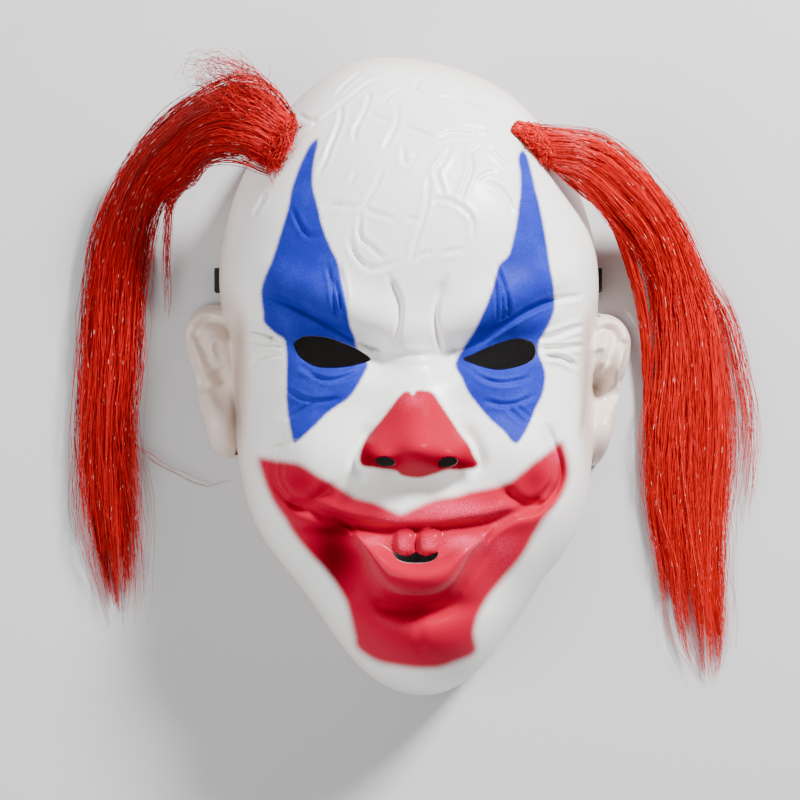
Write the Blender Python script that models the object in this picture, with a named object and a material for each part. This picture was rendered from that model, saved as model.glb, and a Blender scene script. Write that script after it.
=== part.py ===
"""Clown horror mask: a thin formed face shell with ears, two glued hair bunches and an elastic strap.

The shell lies face up on its flat rim. Metres, +Z up towards the viewer, +Y towards the crown.
Tables give their lengths as shares: across of the half width, up of the face height from the
chin rim, rise of the face depth.
"""

import math
from collections import namedtuple

import bmesh
import bpy
import numpy as np

# Face shell
FACE_HEIGHT = 0.270  # chin rim to the top of the crown
HALF_WIDTH = 0.080  # midline to the rim at the temples
FACE_DEPTH = 0.086  # rim plane to the front of the face
NOSE_RISE = 0.0135  # nose tip above the front of the face
WALL = 0.0012
CROWN_ROUNDNESS = 2.7  # exponent of the fall to the rim: low is a ball, high is a box
CHIN_ROUNDNESS = 5.0
RIM_FALL = 0.526
RIM_ROUNDING = 7.0  # degrees over which corners of the rim table are eased

# Ears, moulded in the same sheet
EAR_HEIGHT = 0.063
EAR_REACH = 0.0135  # beyond the face rim
EAR_DEPTH = 0.027  # rim plane to the ear's front
EAR_STEP = 0.004  # the right ear sits this much nearer the chin
BLEND = 0.004  # radius of the valley between ear and face

# Holes
EYE_LENGTH = 0.0295
EYE_OPENING = 0.0125
NOSTRIL_LENGTH = 0.0078
NOSTRIL_WIDTH = 0.0040
MOUTH_LENGTH = 0.0176
MOUTH_OPENING = 0.0056

# Strap, its slots and the notches that let it pass under the rim
STRAP_WIDTH = 0.010
STRAP_THICKNESS = 0.0012
STRAP_UP = 0.645  # share of the face height
STRAP_CLEARANCE = 0.0005
RIM_STRIP = 0.0042  # wall left between notch and slot
STRAP_TAIL = 0.016  # sewn end lying on the band
STRAP_SWAY = 0.009  # sideways wave of the slack band inside the shell
STRAP_RUN = 2.2  # length of the ramp from slot to band, as a share of the slot's height
STRAP_STEPS = 16

# Hair bunches
ROOT_LENGTH = 0.020
ROOT_WIDTH = 0.0060
ROOT_THICKNESS = 0.0030
SEAT_GAP = 0.0003
HAIR_REACH = 0.076  # root to the outermost lock, sideways
HAIR_FALL_LEFT = 0.188  # root to the tips, towards the chin
HAIR_FALL_RIGHT = 0.213
BUNCH_WIDTH = 0.030
BUNCH_THICKNESS = 0.014
THIN_START = 0.55  # a lock's thickness at the root, as a share of its most
TIP_TAPER = 3.2  # a lock thins over the last 1 / 3.2 of its length
TIP_POWER = 0.7
LOCK_WIDTH = 0.42  # a lock's half width as a share of the bunch's
LEAST_THICK = 0.0005
LEAST_WIDE = 0.0007
TURN_SHARE = 0.16  # share of the length over which a lock turns from the strip's run to its own


# Mesh fineness
RAYS = 72
RINGS = 27
RING_SPREAD = 1.18  # above 1 crowds the rings towards the middle of the face
LOCK_SIDES = 8
LOCK_STEPS = 13

Rim = namedtuple("Rim", "up left right")
Crest = namedtuple("Crest", "up height")
Bump = namedtuple("Bump", "name across up rise reach_across reach_up turn")
Fold = namedtuple("Fold", "name depth width points")
Route = namedtuple("Route", "out down lift width")
Lock = namedtuple("Lock", "name across length girth")

RIM = (
    Rim(0.994, -0.28, -0.14),
    Rim(0.980, -0.34, 0.18),
    Rim(0.958, -0.455, 0.40),
    Rim(0.935, -0.55, 0.54),
    Rim(0.897, -0.67, 0.66),
    Rim(0.838, -0.81, 0.79),
    Rim(0.780, -0.905, 0.89),
    Rim(0.712, -0.965, 0.965),
    Rim(0.645, -0.995, 0.995),
    Rim(0.590, -0.965, 0.985),
    Rim(0.530, -0.930, 0.965),
    Rim(0.460, -0.910, 0.965),
    Rim(0.375, -0.890, 0.955),
    Rim(0.297, -0.840, 0.920),
    Rim(0.233, -0.735, 0.830),
    Rim(0.176, -0.570, 0.670),
    Rim(0.117, -0.430, 0.530),
    Rim(0.059, -0.300, 0.410),
    Rim(0.020, -0.165, 0.300),
    Rim(0.000, 0.000, 0.130),
)
CENTRE_UP = 0.46

CREST = (
    Crest(0.00, 1.00),
    Crest(0.13, 0.96),
    Crest(0.25, 0.98),
    Crest(0.38, 0.97),
    Crest(0.50, 0.92),
    Crest(0.58, 0.95),
    Crest(0.70, 1.03),
    Crest(0.85, 1.08),
    Crest(1.00, 1.06),
)

# Forms that both halves of the face share, given for the right half
PAIRED = (
    Bump("eye socket", 0.400, 0.536, -0.095, 0.240, 0.024, 10),
    Bump("socket corner", 0.175, 0.518, -0.075, 0.090, 0.022, 0),
    Bump("brow", 0.440, 0.606, 0.040, 0.360, 0.026, 23),
    Bump("eye bag", 0.400, 0.478, 0.028, 0.220, 0.020, -5),
    Bump("cheek", 0.500, 0.390, 0.040, 0.220, 0.050, 0),
    Bump("nose wing", 0.190, 0.377, 0.085, 0.080, 0.022, 0),
    Bump("lip arm", 0.210, 0.252, 0.030, 0.130, 0.018, 30),
    Bump("smile corner", 0.520, 0.299, 0.025, 0.120, 0.018, 0),
    Bump("jaw hollow", 0.390, 0.205, -0.040, 0.130, 0.040, 0),
)
# Forms on the midline
SINGLE = (
    Bump("nose bulb", 0.000, 0.390, 1.000, 0.170, 0.029, 0),
    Bump("nose bridge", 0.000, 0.432, 0.090, 0.140, 0.048, 0),
    Bump("under the nose", 0.000, 0.346, -0.020, 0.220, 0.013, 0),
    Bump("upper lip", 0.000, 0.306, 0.035, 0.440, 0.026, 0),
    Bump("lower lip", 0.000, 0.218, 0.070, 0.240, 0.027, 0),
    Bump("under the lip", 0.000, 0.170, -0.055, 0.220, 0.015, 0),
    Bump("chin ball", 0.015, 0.126, 0.045, 0.230, 0.034, 0),
)
# Furrows, given for the right half
PAIRED_FOLDS = (
    Fold("under the brow", -0.038, 0.036, ((0.13, 0.530), (0.27, 0.543), (0.50, 0.582), (0.80, 0.616))),
    Fold("frown", -0.018, 0.030, ((0.12, 0.530), (0.085, 0.580), (0.13, 0.628))),
    Fold("smile", -0.040, 0.042, ((0.62, 0.430), (0.67, 0.388), (0.69, 0.345), (0.62, 0.312))),
    Fold("smile pocket", -0.030, 0.035, ((0.39, 0.340), (0.50, 0.314), (0.62, 0.318))),
    Fold("mouth line", -0.040, 0.032, ((0.62, 0.312), (0.48, 0.303), (0.34, 0.290), (0.08, 0.281))),
    Fold("beside the nose", -0.035, 0.030, ((0.20, 0.430), (0.275, 0.395), (0.285, 0.370), (0.21, 0.357))),
)

# Ear outline round its own centre, shares of its reach across and of its height up
EAR_CENTRE_UP = 0.492
EAR_OUTLINE = (
    (0.10, 0.50),
    (0.62, 0.47),
    (0.95, 0.38),
    (1.00, 0.27),
    (0.90, 0.15),
    (0.68, 0.00),
    (0.60, -0.15),
    (0.38, -0.31),
    (0.22, -0.44),
    (-0.10, -0.52),
    (-0.60, -0.50),
    (-0.95, -0.20),
    (-0.95, 0.25),
    (-0.55, 0.46),
)
EAR_HELIX = Fold("inside the helix", -0.22, 0.10, ((0.45, 0.30), (0.75, 0.24), (0.55, 0.02), (0.30, -0.12)))
EAR_CONCHA = Bump("concha", -0.05, -0.06, -0.45, 0.38, 0.15, 0)

# Eye hole round its centre, shares of its length and its opening, right eye
EYE_ACROSS = 0.402
EYE_UP = 0.524
EYE_RIM = (
    (-0.50, -0.12),
    (-0.33, 0.14),
    (-0.08, 0.37),
    (0.22, 0.50),
    (0.41, 0.42),
    (0.50, 0.18),
    (0.44, -0.18),
    (0.27, -0.44),
    (0.00, -0.50),
    (-0.28, -0.36),
)
NOSTRIL_ACROSS = 0.1474
NOSTRIL_UP = 0.378
NOSTRIL_TILT = -8
MOUTH_UP = 0.237
MOUTH_RIM = (
    (-0.50, 0.38),
    (-0.26, 0.22),
    (0.00, 0.42),
    (0.26, 0.22),
    (0.50, 0.38),
    (0.42, -0.26),
    (0.16, -0.50),
    (-0.16, -0.50),
    (-0.42, -0.26),
)

# Hair routes from the root: shares of the reach out, the fall down, the root's height and the width
LEFT_ROUTE = (
    Route(0.00, 0.00, 1.02, 0.62),
    Route(0.09, -0.045, 1.16, 0.74),
    Route(0.24, -0.072, 1.08, 0.84),
    Route(0.42, -0.060, 0.80, 0.84),
    Route(0.61, -0.020, 0.50, 0.74),
    Route(0.76, 0.045, 0.26, 0.66),
    Route(0.88, 0.122, 0.10, 0.62),
    Route(0.94, 0.215, 0.00, 0.64),
    Route(0.98, 0.430, 0.00, 0.72),
    Route(1.00, 0.650, 0.00, 0.80),
    Route(0.97, 0.850, 0.00, 0.84),
    Route(0.90, 1.000, 0.00, 0.60),
)
RIGHT_ROUTE = (
    Route(0.00, 0.00, 1.02, 0.68),
    Route(0.11, -0.012, 1.14, 0.66),
    Route(0.28, 0.006, 0.98, 0.66),
    Route(0.47, 0.052, 0.66, 0.66),
    Route(0.65, 0.118, 0.36, 0.66),
    Route(0.78, 0.192, 0.14, 0.70),
    Route(0.87, 0.266, 0.00, 0.78),
    Route(0.93, 0.360, 0.00, 0.92),
    Route(0.93, 0.540, 0.00, 1.06),
    Route(0.91, 0.730, 0.00, 1.02),
    Route(0.945, 0.880, 0.00, 0.80),
    Route(1.00, 1.000, 0.00, 0.46),
)
LOCKS = (
    Lock("middle", 0.00, 1.00, 1.00),
    Lock("inner", -0.36, 0.93, 0.92),
    Lock("outer", 0.36, 0.96, 0.92),
    Lock("inner_edge", -0.72, 0.84, 0.70),
    Lock("outer_edge", 0.72, 0.88, 0.70),
)
LEFT_ROOT = (-0.635, 0.822, -119)  # across, up, degrees of the strip's run in plan
RIGHT_ROOT = (0.615, 0.822, -48)


def through(points, steps=8, closed=False):
    """A smooth curve (Catmull-Rom) through the points."""
    p = np.array(points, float)
    if closed:
        p = np.vstack([p[-1], p, p[:2]])
    else:
        p = np.vstack([2 * p[0] - p[1], p, 2 * p[-1] - p[-2]])
    t = np.linspace(0, 1, steps, endpoint=False)[:, None]
    runs = []
    for a, b, c, d in zip(p[:-3], p[1:-2], p[2:-1], p[3:]):
        runs.append(b + 0.5 * t * (c - a + t * (2 * a - 5 * b + 4 * c - d + t * (3 * (b - c) + d - a))))
    if not closed:
        runs.append(p[-2:-1])
    return np.vstack(runs)


def polar_reach(outline):
    """Angle and radius of a closed outline round the origin, ready for interpolation."""
    angle = np.arctan2(outline[:, 1], outline[:, 0])
    order = np.argsort(angle)
    return angle[order], np.hypot(outline[:, 0], outline[:, 1])[order]


def reach_at(polar, angle):
    return np.interp(angle, polar[0], polar[1], period=2 * math.pi)


CENTRE_Y = CENTRE_UP * FACE_HEIGHT


def face_rim():
    """The rim round the middle of the face, rounded a little where its two halves meet."""
    left = [(row.left * HALF_WIDTH, row.up * FACE_HEIGHT - CENTRE_Y) for row in RIM]
    right = [(row.right * HALF_WIDTH, row.up * FACE_HEIGHT - CENTRE_Y) for row in RIM]
    polar = polar_reach(through(left + right[::-1], closed=True))
    angle = np.linspace(-math.pi, math.pi, 361)[:-1]
    reach = reach_at(polar, angle)
    near = np.arange(-20, 21)
    weight = np.exp(-((near / RIM_ROUNDING) ** 2))
    rounded = sum(w * np.roll(reach, k) for w, k in zip(weight, near)) / weight.sum()
    return angle, rounded


FACE_RIM = face_rim()


def ear_place(side):
    """Centre of an ear: it straddles the face rim."""
    return side * HALF_WIDTH, EAR_CENTRE_UP * FACE_HEIGHT - (EAR_STEP if side > 0 else 0.0)


def ear_rim():
    outline = [(a * EAR_REACH, b * EAR_HEIGHT) for a, b in EAR_OUTLINE]
    return polar_reach(through(outline, closed=True))


EAR_RIM = ear_rim()


def ear_share(x, y, side):
    """0 at the ear's centre and 1 at its edge."""
    cx, cy = ear_place(side)
    u, v = side * (x - cx), y - cy
    return np.hypot(u, v) / reach_at(EAR_RIM, np.arctan2(v, u))


def face_share(x, y):
    """0 at the middle of the face and 1 at its rim."""
    v = y - CENTRE_Y
    return np.hypot(x, v) / reach_at(FACE_RIM, np.arctan2(v, x))


def swell(x, y, bump, across, wide, high):
    """A rounded hill or hollow, 1 at its middle."""
    turn = math.radians(bump.turn)
    u, v = x - across, y - bump.up * high
    a = (u * math.cos(turn) + v * math.sin(turn)) / (bump.reach_across * wide)
    b = (v * math.cos(turn) - u * math.sin(turn)) / (bump.reach_up * high)
    return np.exp(-(a**2) - b**2)


def groove(x, y, points, width):
    """A soft furrow along a curve, 1 on it and fading out at both ends."""
    line = through(points, 6)
    a, b = line[:-1], line[1:]
    near = np.full(np.shape(x), 1e9)
    along = np.zeros(np.shape(x))
    for i in range(len(a)):
        run = b[i] - a[i]
        t = np.clip(((x - a[i][0]) * run[0] + (y - a[i][1]) * run[1]) / (run @ run), 0, 1)
        gap = np.hypot(x - a[i][0] - t * run[0], y - a[i][1] - t * run[1])
        along = np.where(gap < near, (i + t) / len(a), along)
        near = np.minimum(near, gap)
    fade = np.clip(np.minimum(along, 1 - along) * 5, 0, 1)
    return np.exp(-((near / width) ** 2)) * (0.15 + 0.85 * fade * fade * (3 - 2 * fade))


def face_front(x, y, plain=False):
    """Height of the face without its ears; plain leaves out its forms and furrows."""
    share = np.clip(face_share(x, y), 0, 1)
    lean = 0.5 - 0.5 * np.sin(np.arctan2(y - CENTRE_Y, x))
    roundness = CROWN_ROUNDNESS + (CHIN_ROUNDNESS - CROWN_ROUNDNESS) * lean**2
    fall = (1 - share**roundness) ** RIM_FALL
    crest = through([(row.up, row.height) for row in CREST])
    z = FACE_DEPTH * fall * np.interp(y / FACE_HEIGHT, crest[:, 0], crest[:, 1])
    if plain:
        return z
    keep = np.clip(fall * 2.2, 0, 1)
    for bump in PAIRED:
        for side in (-1, 1):
            z = z + keep * FACE_DEPTH * bump.rise * swell(
                side * x, y, bump, bump.across * HALF_WIDTH, HALF_WIDTH, FACE_HEIGHT
            )
    for bump in SINGLE:
        rise = NOSE_RISE if bump.name == "nose bulb" else FACE_DEPTH
        z = z + keep * rise * bump.rise * swell(
            x, y, bump, bump.across * HALF_WIDTH, HALF_WIDTH, FACE_HEIGHT
        )
    for fold in PAIRED_FOLDS:
        line = [(a * HALF_WIDTH, b * FACE_HEIGHT) for a, b in fold.points]
        for side in (-1, 1):
            z = z + keep * FACE_DEPTH * fold.depth * groove(side * x, y, line, fold.width * HALF_WIDTH)
    return z


def ear_front(x, y, side):
    share = np.clip(ear_share(x, y, side), 0, 1)
    z = EAR_DEPTH * (1 - share**3) ** RIM_FALL
    cx, cy = ear_place(side)
    u, v = side * (x - cx), y - cy
    keep = np.clip((1 - share) * 4, 0, 1)
    line = [(a * EAR_REACH, b * EAR_HEIGHT) for a, b in EAR_HELIX.points]
    z = z + keep * EAR_DEPTH * EAR_HELIX.depth * groove(u, v, line, EAR_HELIX.width * EAR_REACH * 2)
    z = z + keep * EAR_DEPTH * EAR_CONCHA.rise * swell(
        u, v, EAR_CONCHA, EAR_CONCHA.across * EAR_REACH, EAR_REACH * 2, EAR_HEIGHT
    )
    return z


def join(a, b):
    """The higher of two heights, with a soft valley where they meet."""
    soft = np.minimum(BLEND, 0.5 * np.maximum(a, b)) + 1e-6
    near = np.clip(1 - np.abs(a - b) / soft, 0, None)
    return np.maximum(a, b) + near**2 * soft / 4


def front(x, y, plain=False):
    """Height of the shell's outer side at a point of the plan."""
    z = face_front(x, y, plain)
    for side in (-1, 1):
        z = join(z, np.where(ear_share(x, y, side) < 1, ear_front(x, y, side), 0))
    return z


def outer_reach(angle):
    """Distance from the middle of the face to the rim, round the ears too."""
    face = reach_at(FACE_RIM, angle)
    out = np.linspace(0, 2.5 * EAR_REACH, 240)[:, None]
    x = (face + out) * np.cos(angle)
    y = (face + out) * np.sin(angle) + CENTRE_Y
    inside = np.minimum(ear_share(x, y, -1), ear_share(x, y, 1)) < 1
    return face + np.where(inside, out, 0).max(axis=0)


def shell_sections():
    """Points of the outer side: the middle, then rings out to the rim, evenly spaced along the surface."""
    angle = (np.arange(RAYS) + 0.5) * 2 * math.pi / RAYS
    reach = outer_reach(angle)
    fine = np.sin(np.linspace(0, math.pi / 2, 300))[:, None] * reach
    x, y = fine * np.cos(angle), fine * np.sin(angle) + CENTRE_Y
    z = front(x, y, plain=True)
    z[-1] = 0
    steps = np.sqrt(np.diff(fine, axis=0) ** 2 + np.diff(z, axis=0) ** 2)
    length = np.vstack([np.zeros(RAYS), np.cumsum(steps, axis=0)])
    want = np.linspace(0, 1, RINGS + 1) ** RING_SPREAD
    radius = np.array([np.interp(want * length[-1, i], length[:, i], fine[:, i]) for i in range(RAYS)]).T
    x, y = radius * np.cos(angle), radius * np.sin(angle) + CENTRE_Y
    z = np.maximum(front(x, y), 1.6 * WALL)
    z[-1] = 0
    return np.stack([x, y, z], axis=-1)


def section_normals(grid):
    """Outward directions from the differences along the rays and round the rings."""
    down = np.gradient(grid, axis=0)
    round_ = np.roll(grid, -1, axis=1) - np.roll(grid, 1, axis=1)
    normal = np.cross(down, round_)
    normal[0] = (0, 0, 1)
    return normal / np.linalg.norm(normal, axis=-1, keepdims=True)


def shell_mesh():
    """The sheet as a closed body: outer side, inner side one wall below it, and the flat rim."""
    outer = shell_sections()
    normal = section_normals(outer)
    inner = outer - normal * WALL
    flat = normal[-1] * (1, 1, 0)
    inner[-1] = outer[-1] - WALL * flat / np.linalg.norm(flat, axis=-1, keepdims=True)
    inner[..., 2] = np.maximum(inner[..., 2], outer[..., 2] / 4)
    mesh = bmesh.new()
    sides = []
    for grid in (outer, inner):
        middle = mesh.verts.new(grid[0, 0])
        rings = [[mesh.verts.new(point) for point in ring] for ring in grid[1:]]
        sides.append((middle, rings))
    for (middle, rings), outward in zip(sides, (True, False)):
        for i in range(RAYS):
            j = (i + 1) % RAYS
            face = (middle, rings[0][i], rings[0][j])
            mesh.faces.new(face if outward else face[::-1])
            for a, b in zip(rings[:-1], rings[1:]):
                face = (a[i], b[i], b[j], a[j])
                mesh.faces.new(face if outward else face[::-1])
    top, bottom = sides[0][1][-1], sides[1][1][-1]
    for i in range(RAYS):
        j = (i + 1) % RAYS
        mesh.faces.new((top[i], bottom[i], bottom[j], top[j]))
    return mesh


def material(name, colour, roughness):
    finish = bpy.data.materials.new(name)
    finish.use_nodes = True
    shader = finish.node_tree.nodes["Principled BSDF"]
    shader.inputs["Base Color"].default_value = (*colour, 1.0)
    shader.inputs["Roughness"].default_value = roughness
    shader.inputs["Metallic"].default_value = 0.0
    return finish


def add(name, mesh, finish=None, cutter=False):
    """Puts a finished mesh in the scene as a piece, or as a hidden helper."""
    data = bpy.data.meshes.new(name)
    mesh.to_mesh(data)
    mesh.free()
    piece = bpy.data.objects.new(name, data)
    bpy.context.scene.collection.objects.link(piece)
    if cutter:
        piece.hide_render = True
        piece.display_type = "WIRE"
    else:
        data.materials.append(finish)
        data.shade_smooth()
    return piece


def combine(piece, helper, operation):
    """Cuts or joins a closed helper; the thin sheet and the nearly touching locks need this solver."""
    step = piece.modifiers.new(helper.name, "BOOLEAN")
    step.operation = operation
    step.solver = "MANIFOLD"
    step.object = helper


def prism(name, outline, low, high):
    """An upright cutter over a closed outline in plan."""
    mesh = bmesh.new()
    bottom = [mesh.verts.new((x, y, low)) for x, y in outline]
    top = [mesh.verts.new((x, y, high)) for x, y in outline]
    mesh.faces.new(bottom[::-1])
    mesh.faces.new(top)
    for i in range(len(outline)):
        j = (i + 1) % len(outline)
        mesh.faces.new((bottom[i], bottom[j], top[j], top[i]))
    bmesh.ops.recalc_face_normals(mesh, faces=mesh.faces)
    return add(name, mesh, cutter=True)


def block(name, low, high):
    outline = ((low[0], low[1]), (high[0], low[1]), (high[0], high[1]), (low[0], high[1]))
    return prism(name, outline, low[2], high[2])


def eye_outline(side):
    return [
        (side * (EYE_ACROSS * HALF_WIDTH + a * EYE_LENGTH), EYE_UP * FACE_HEIGHT + b * EYE_OPENING)
        for a, b in through(EYE_RIM, 3, closed=True)
    ]


def nostril_outline(side):
    turn = math.radians(NOSTRIL_TILT)
    points = []
    for i in range(12):
        u = math.cos(i * math.pi / 6) * NOSTRIL_LENGTH / 2
        v = math.sin(i * math.pi / 6) * NOSTRIL_WIDTH / 2
        x = NOSTRIL_ACROSS * HALF_WIDTH + u * math.cos(turn) - v * math.sin(turn)
        points.append((side * x, NOSTRIL_UP * FACE_HEIGHT + u * math.sin(turn) + v * math.cos(turn)))
    return points


def mouth_outline():
    return [
        (a * MOUTH_LENGTH, MOUTH_UP * FACE_HEIGHT + b * MOUTH_OPENING)
        for a, b in through(MOUTH_RIM, 2, closed=True)
    ]


STRAP_Y = STRAP_UP * FACE_HEIGHT
NOTCH_HEIGHT = STRAP_THICKNESS + 2 * STRAP_CLEARANCE
SLOT_LOW = NOTCH_HEIGHT + RIM_STRIP
SLOT_HEIGHT = STRAP_THICKNESS + 2 * STRAP_CLEARANCE
SLOT_LENGTH = STRAP_WIDTH + 4 * STRAP_CLEARANCE


def wall_at(side, y, z):
    """Where the outer side of the shell stands at a height, going in from the rim."""
    x = np.linspace(1.05, 0.6, 1200) * HALF_WIDTH
    height = front(side * x, np.full(x.shape, y))
    return side * x[np.argmax(height >= max(z, 1e-5))]


def cut_holes(shell):
    floor, ceiling = 0.35 * FACE_DEPTH, FACE_DEPTH + 2 * NOSE_RISE
    for side, word in ((-1, "left"), (1, "right")):
        combine(shell, prism(f"cut_eye_{word}", eye_outline(side), floor, ceiling), "DIFFERENCE")
        combine(shell, prism(f"cut_nostril_{word}", nostril_outline(side), floor, ceiling), "DIFFERENCE")
        low_y, high_y = STRAP_Y - SLOT_LENGTH / 2, STRAP_Y + SLOT_LENGTH / 2
        near, far = sorted((side * HALF_WIDTH * 0.75, side * HALF_WIDTH * 1.1))
        slot = block(f"cut_slot_{word}", (near, low_y, SLOT_LOW), (far, high_y, SLOT_LOW + SLOT_HEIGHT))
        notch = block(f"cut_notch_{word}", (near, low_y, -WALL), (far, high_y, NOTCH_HEIGHT))
        combine(shell, slot, "DIFFERENCE")
        combine(shell, notch, "DIFFERENCE")
    combine(shell, prism("cut_mouth", mouth_outline(), floor, ceiling), "DIFFERENCE")


def mask_shell():
    white = material("white_formed_plastic", (0.86, 0.86, 0.85), 0.38)
    shell = add("mask_shell", shell_mesh(), white)
    cut_holes(shell)
    return shell


def strap_end(side):
    """Middle line of one end: out under the rim strip, up beside it, in through the slot, back on the band."""
    half = STRAP_THICKNESS / 2
    edge = abs(wall_at(side, STRAP_Y, 0))
    inside = abs(wall_at(side, STRAP_Y, SLOT_LOW + SLOT_HEIGHT)) - WALL
    lying = half
    outside = edge + STRAP_CLEARANCE + half
    through_slot = SLOT_LOW + SLOT_HEIGHT / 2
    back = inside - STRAP_CLEARANCE - 2 * half
    on_band = 3 * half + SEAT_GAP
    return [
        (side * outside, lying),
        (side * outside, through_slot),
        (side * back, through_slot),
        (side * (back - STRAP_RUN * through_slot), on_band),
        (side * (back - STRAP_RUN * through_slot - STRAP_TAIL), on_band),
    ]


def strap_line():
    """The whole band from tail to tail as (x, y, z) of its middle."""
    left, right = strap_end(-1), strap_end(1)
    line = [(x, STRAP_Y, z) for x, z in left[::-1]]
    start, end = left[0][0], right[0][0]
    slack = abs(left[-1][0])
    for i in range(1, STRAP_STEPS):
        x = -slack + 2 * slack * i / STRAP_STEPS
        wave = math.sin(2 * math.pi * i / STRAP_STEPS) * STRAP_SWAY
        line.append((x, STRAP_Y + wave, STRAP_THICKNESS / 2))
    line += [(x, STRAP_Y, z) for x, z in right]
    return line


def elastic_strap():
    """A flat band swept along its line, mitred where it turns round the rim strip."""
    line = np.array(strap_line())
    path = line[:, (0, 2)]
    run = np.diff(path, axis=0)
    run /= np.linalg.norm(run, axis=1, keepdims=True)
    before = np.vstack([run[:1], run])
    after = np.vstack([run, run[-1:]])
    bisector = before + after
    bisector /= np.linalg.norm(bisector, axis=1, keepdims=True)
    side = np.stack([-bisector[:, 1], bisector[:, 0]], axis=1)
    stretch = 1 / np.maximum((before * bisector).sum(axis=1), 0.5)
    offset = side * stretch[:, None] * STRAP_THICKNESS / 2
    mesh = bmesh.new()
    sections = []
    for (x, y, z), (ox, oz) in zip(line, offset):
        corners = []
        for sign, edge in ((1, -1), (1, 1), (-1, 1), (-1, -1)):
            corners.append(mesh.verts.new((x + sign * ox, y + edge * STRAP_WIDTH / 2, z + sign * oz)))
        sections.append(corners)
    for a, b in zip(sections[:-1], sections[1:]):
        for i in range(4):
            j = (i + 1) % 4
            mesh.faces.new((a[i], a[j], b[j], b[i]))
    mesh.faces.new(sections[0][::-1])
    mesh.faces.new(sections[-1])
    bmesh.ops.recalc_face_normals(mesh, faces=mesh.faces)
    strap = add("elastic_strap", mesh, material("black_elastic", (0.015, 0.015, 0.015), 0.8))
    strap.data.shade_flat()
    return strap


def surface_frame(across, up, turn):
    """Point, outward direction and the strip's direction on the shell's outer side."""
    x, y = across * HALF_WIDTH, up * FACE_HEIGHT
    step = 0.0005
    fx = (front(np.array([x + step]), np.array([y])) - front(np.array([x - step]), np.array([y])))[0]
    fy = (front(np.array([x]), np.array([y + step])) - front(np.array([x]), np.array([y - step])))[0]
    normal = np.array([-fx / (2 * step), -fy / (2 * step), 1.0])
    normal /= np.linalg.norm(normal)
    point = np.array([x, y, front(np.array([x]), np.array([y]))[0]])
    plan = np.array([math.cos(math.radians(turn)), math.sin(math.radians(turn)), 0.0])
    run = plan - normal * (plan @ normal)
    return point, normal, run / np.linalg.norm(run)


def root_pad(name, root, finish):
    """The glued strip at the hair's root, curved to the shell and one seat gap off it."""
    point, normal, run = surface_frame(*root)
    across = np.cross(normal, run)
    mesh = bmesh.new()
    cells = (9, 4)
    layers = []
    for lift in (SEAT_GAP, ROOT_THICKNESS):
        layer = []
        for i in range(cells[0]):
            for j in range(cells[1]):
                u, v = i / (cells[0] - 1) - 0.5, j / (cells[1] - 1) - 0.5
                place = point + run * u * ROOT_LENGTH + across * v * ROOT_WIDTH
                slope = surface_frame(place[0] / HALF_WIDTH, place[1] / FACE_HEIGHT, root[2])
                layer.append(mesh.verts.new(slope[0] + slope[1] * lift))
        layers.append(layer)
    columns, rows = cells

    def at(layer, i, j):
        return layers[layer][i * rows + j]

    for i in range(columns - 1):
        for j in range(rows - 1):
            mesh.faces.new((at(0, i, j), at(0, i, j + 1), at(0, i + 1, j + 1), at(0, i + 1, j)))
            mesh.faces.new((at(1, i, j), at(1, i + 1, j), at(1, i + 1, j + 1), at(1, i, j + 1)))
    for i in range(columns - 1):
        for j in (0, rows - 1):
            mesh.faces.new((at(0, i, j), at(0, i + 1, j), at(1, i + 1, j), at(1, i, j)))
    for j in range(rows - 1):
        for i in (0, columns - 1):
            mesh.faces.new((at(0, i, j), at(0, i, j + 1), at(1, i, j + 1), at(1, i, j)))
    bmesh.ops.recalc_face_normals(mesh, faces=mesh.faces)
    return add(name, mesh, finish)


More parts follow.
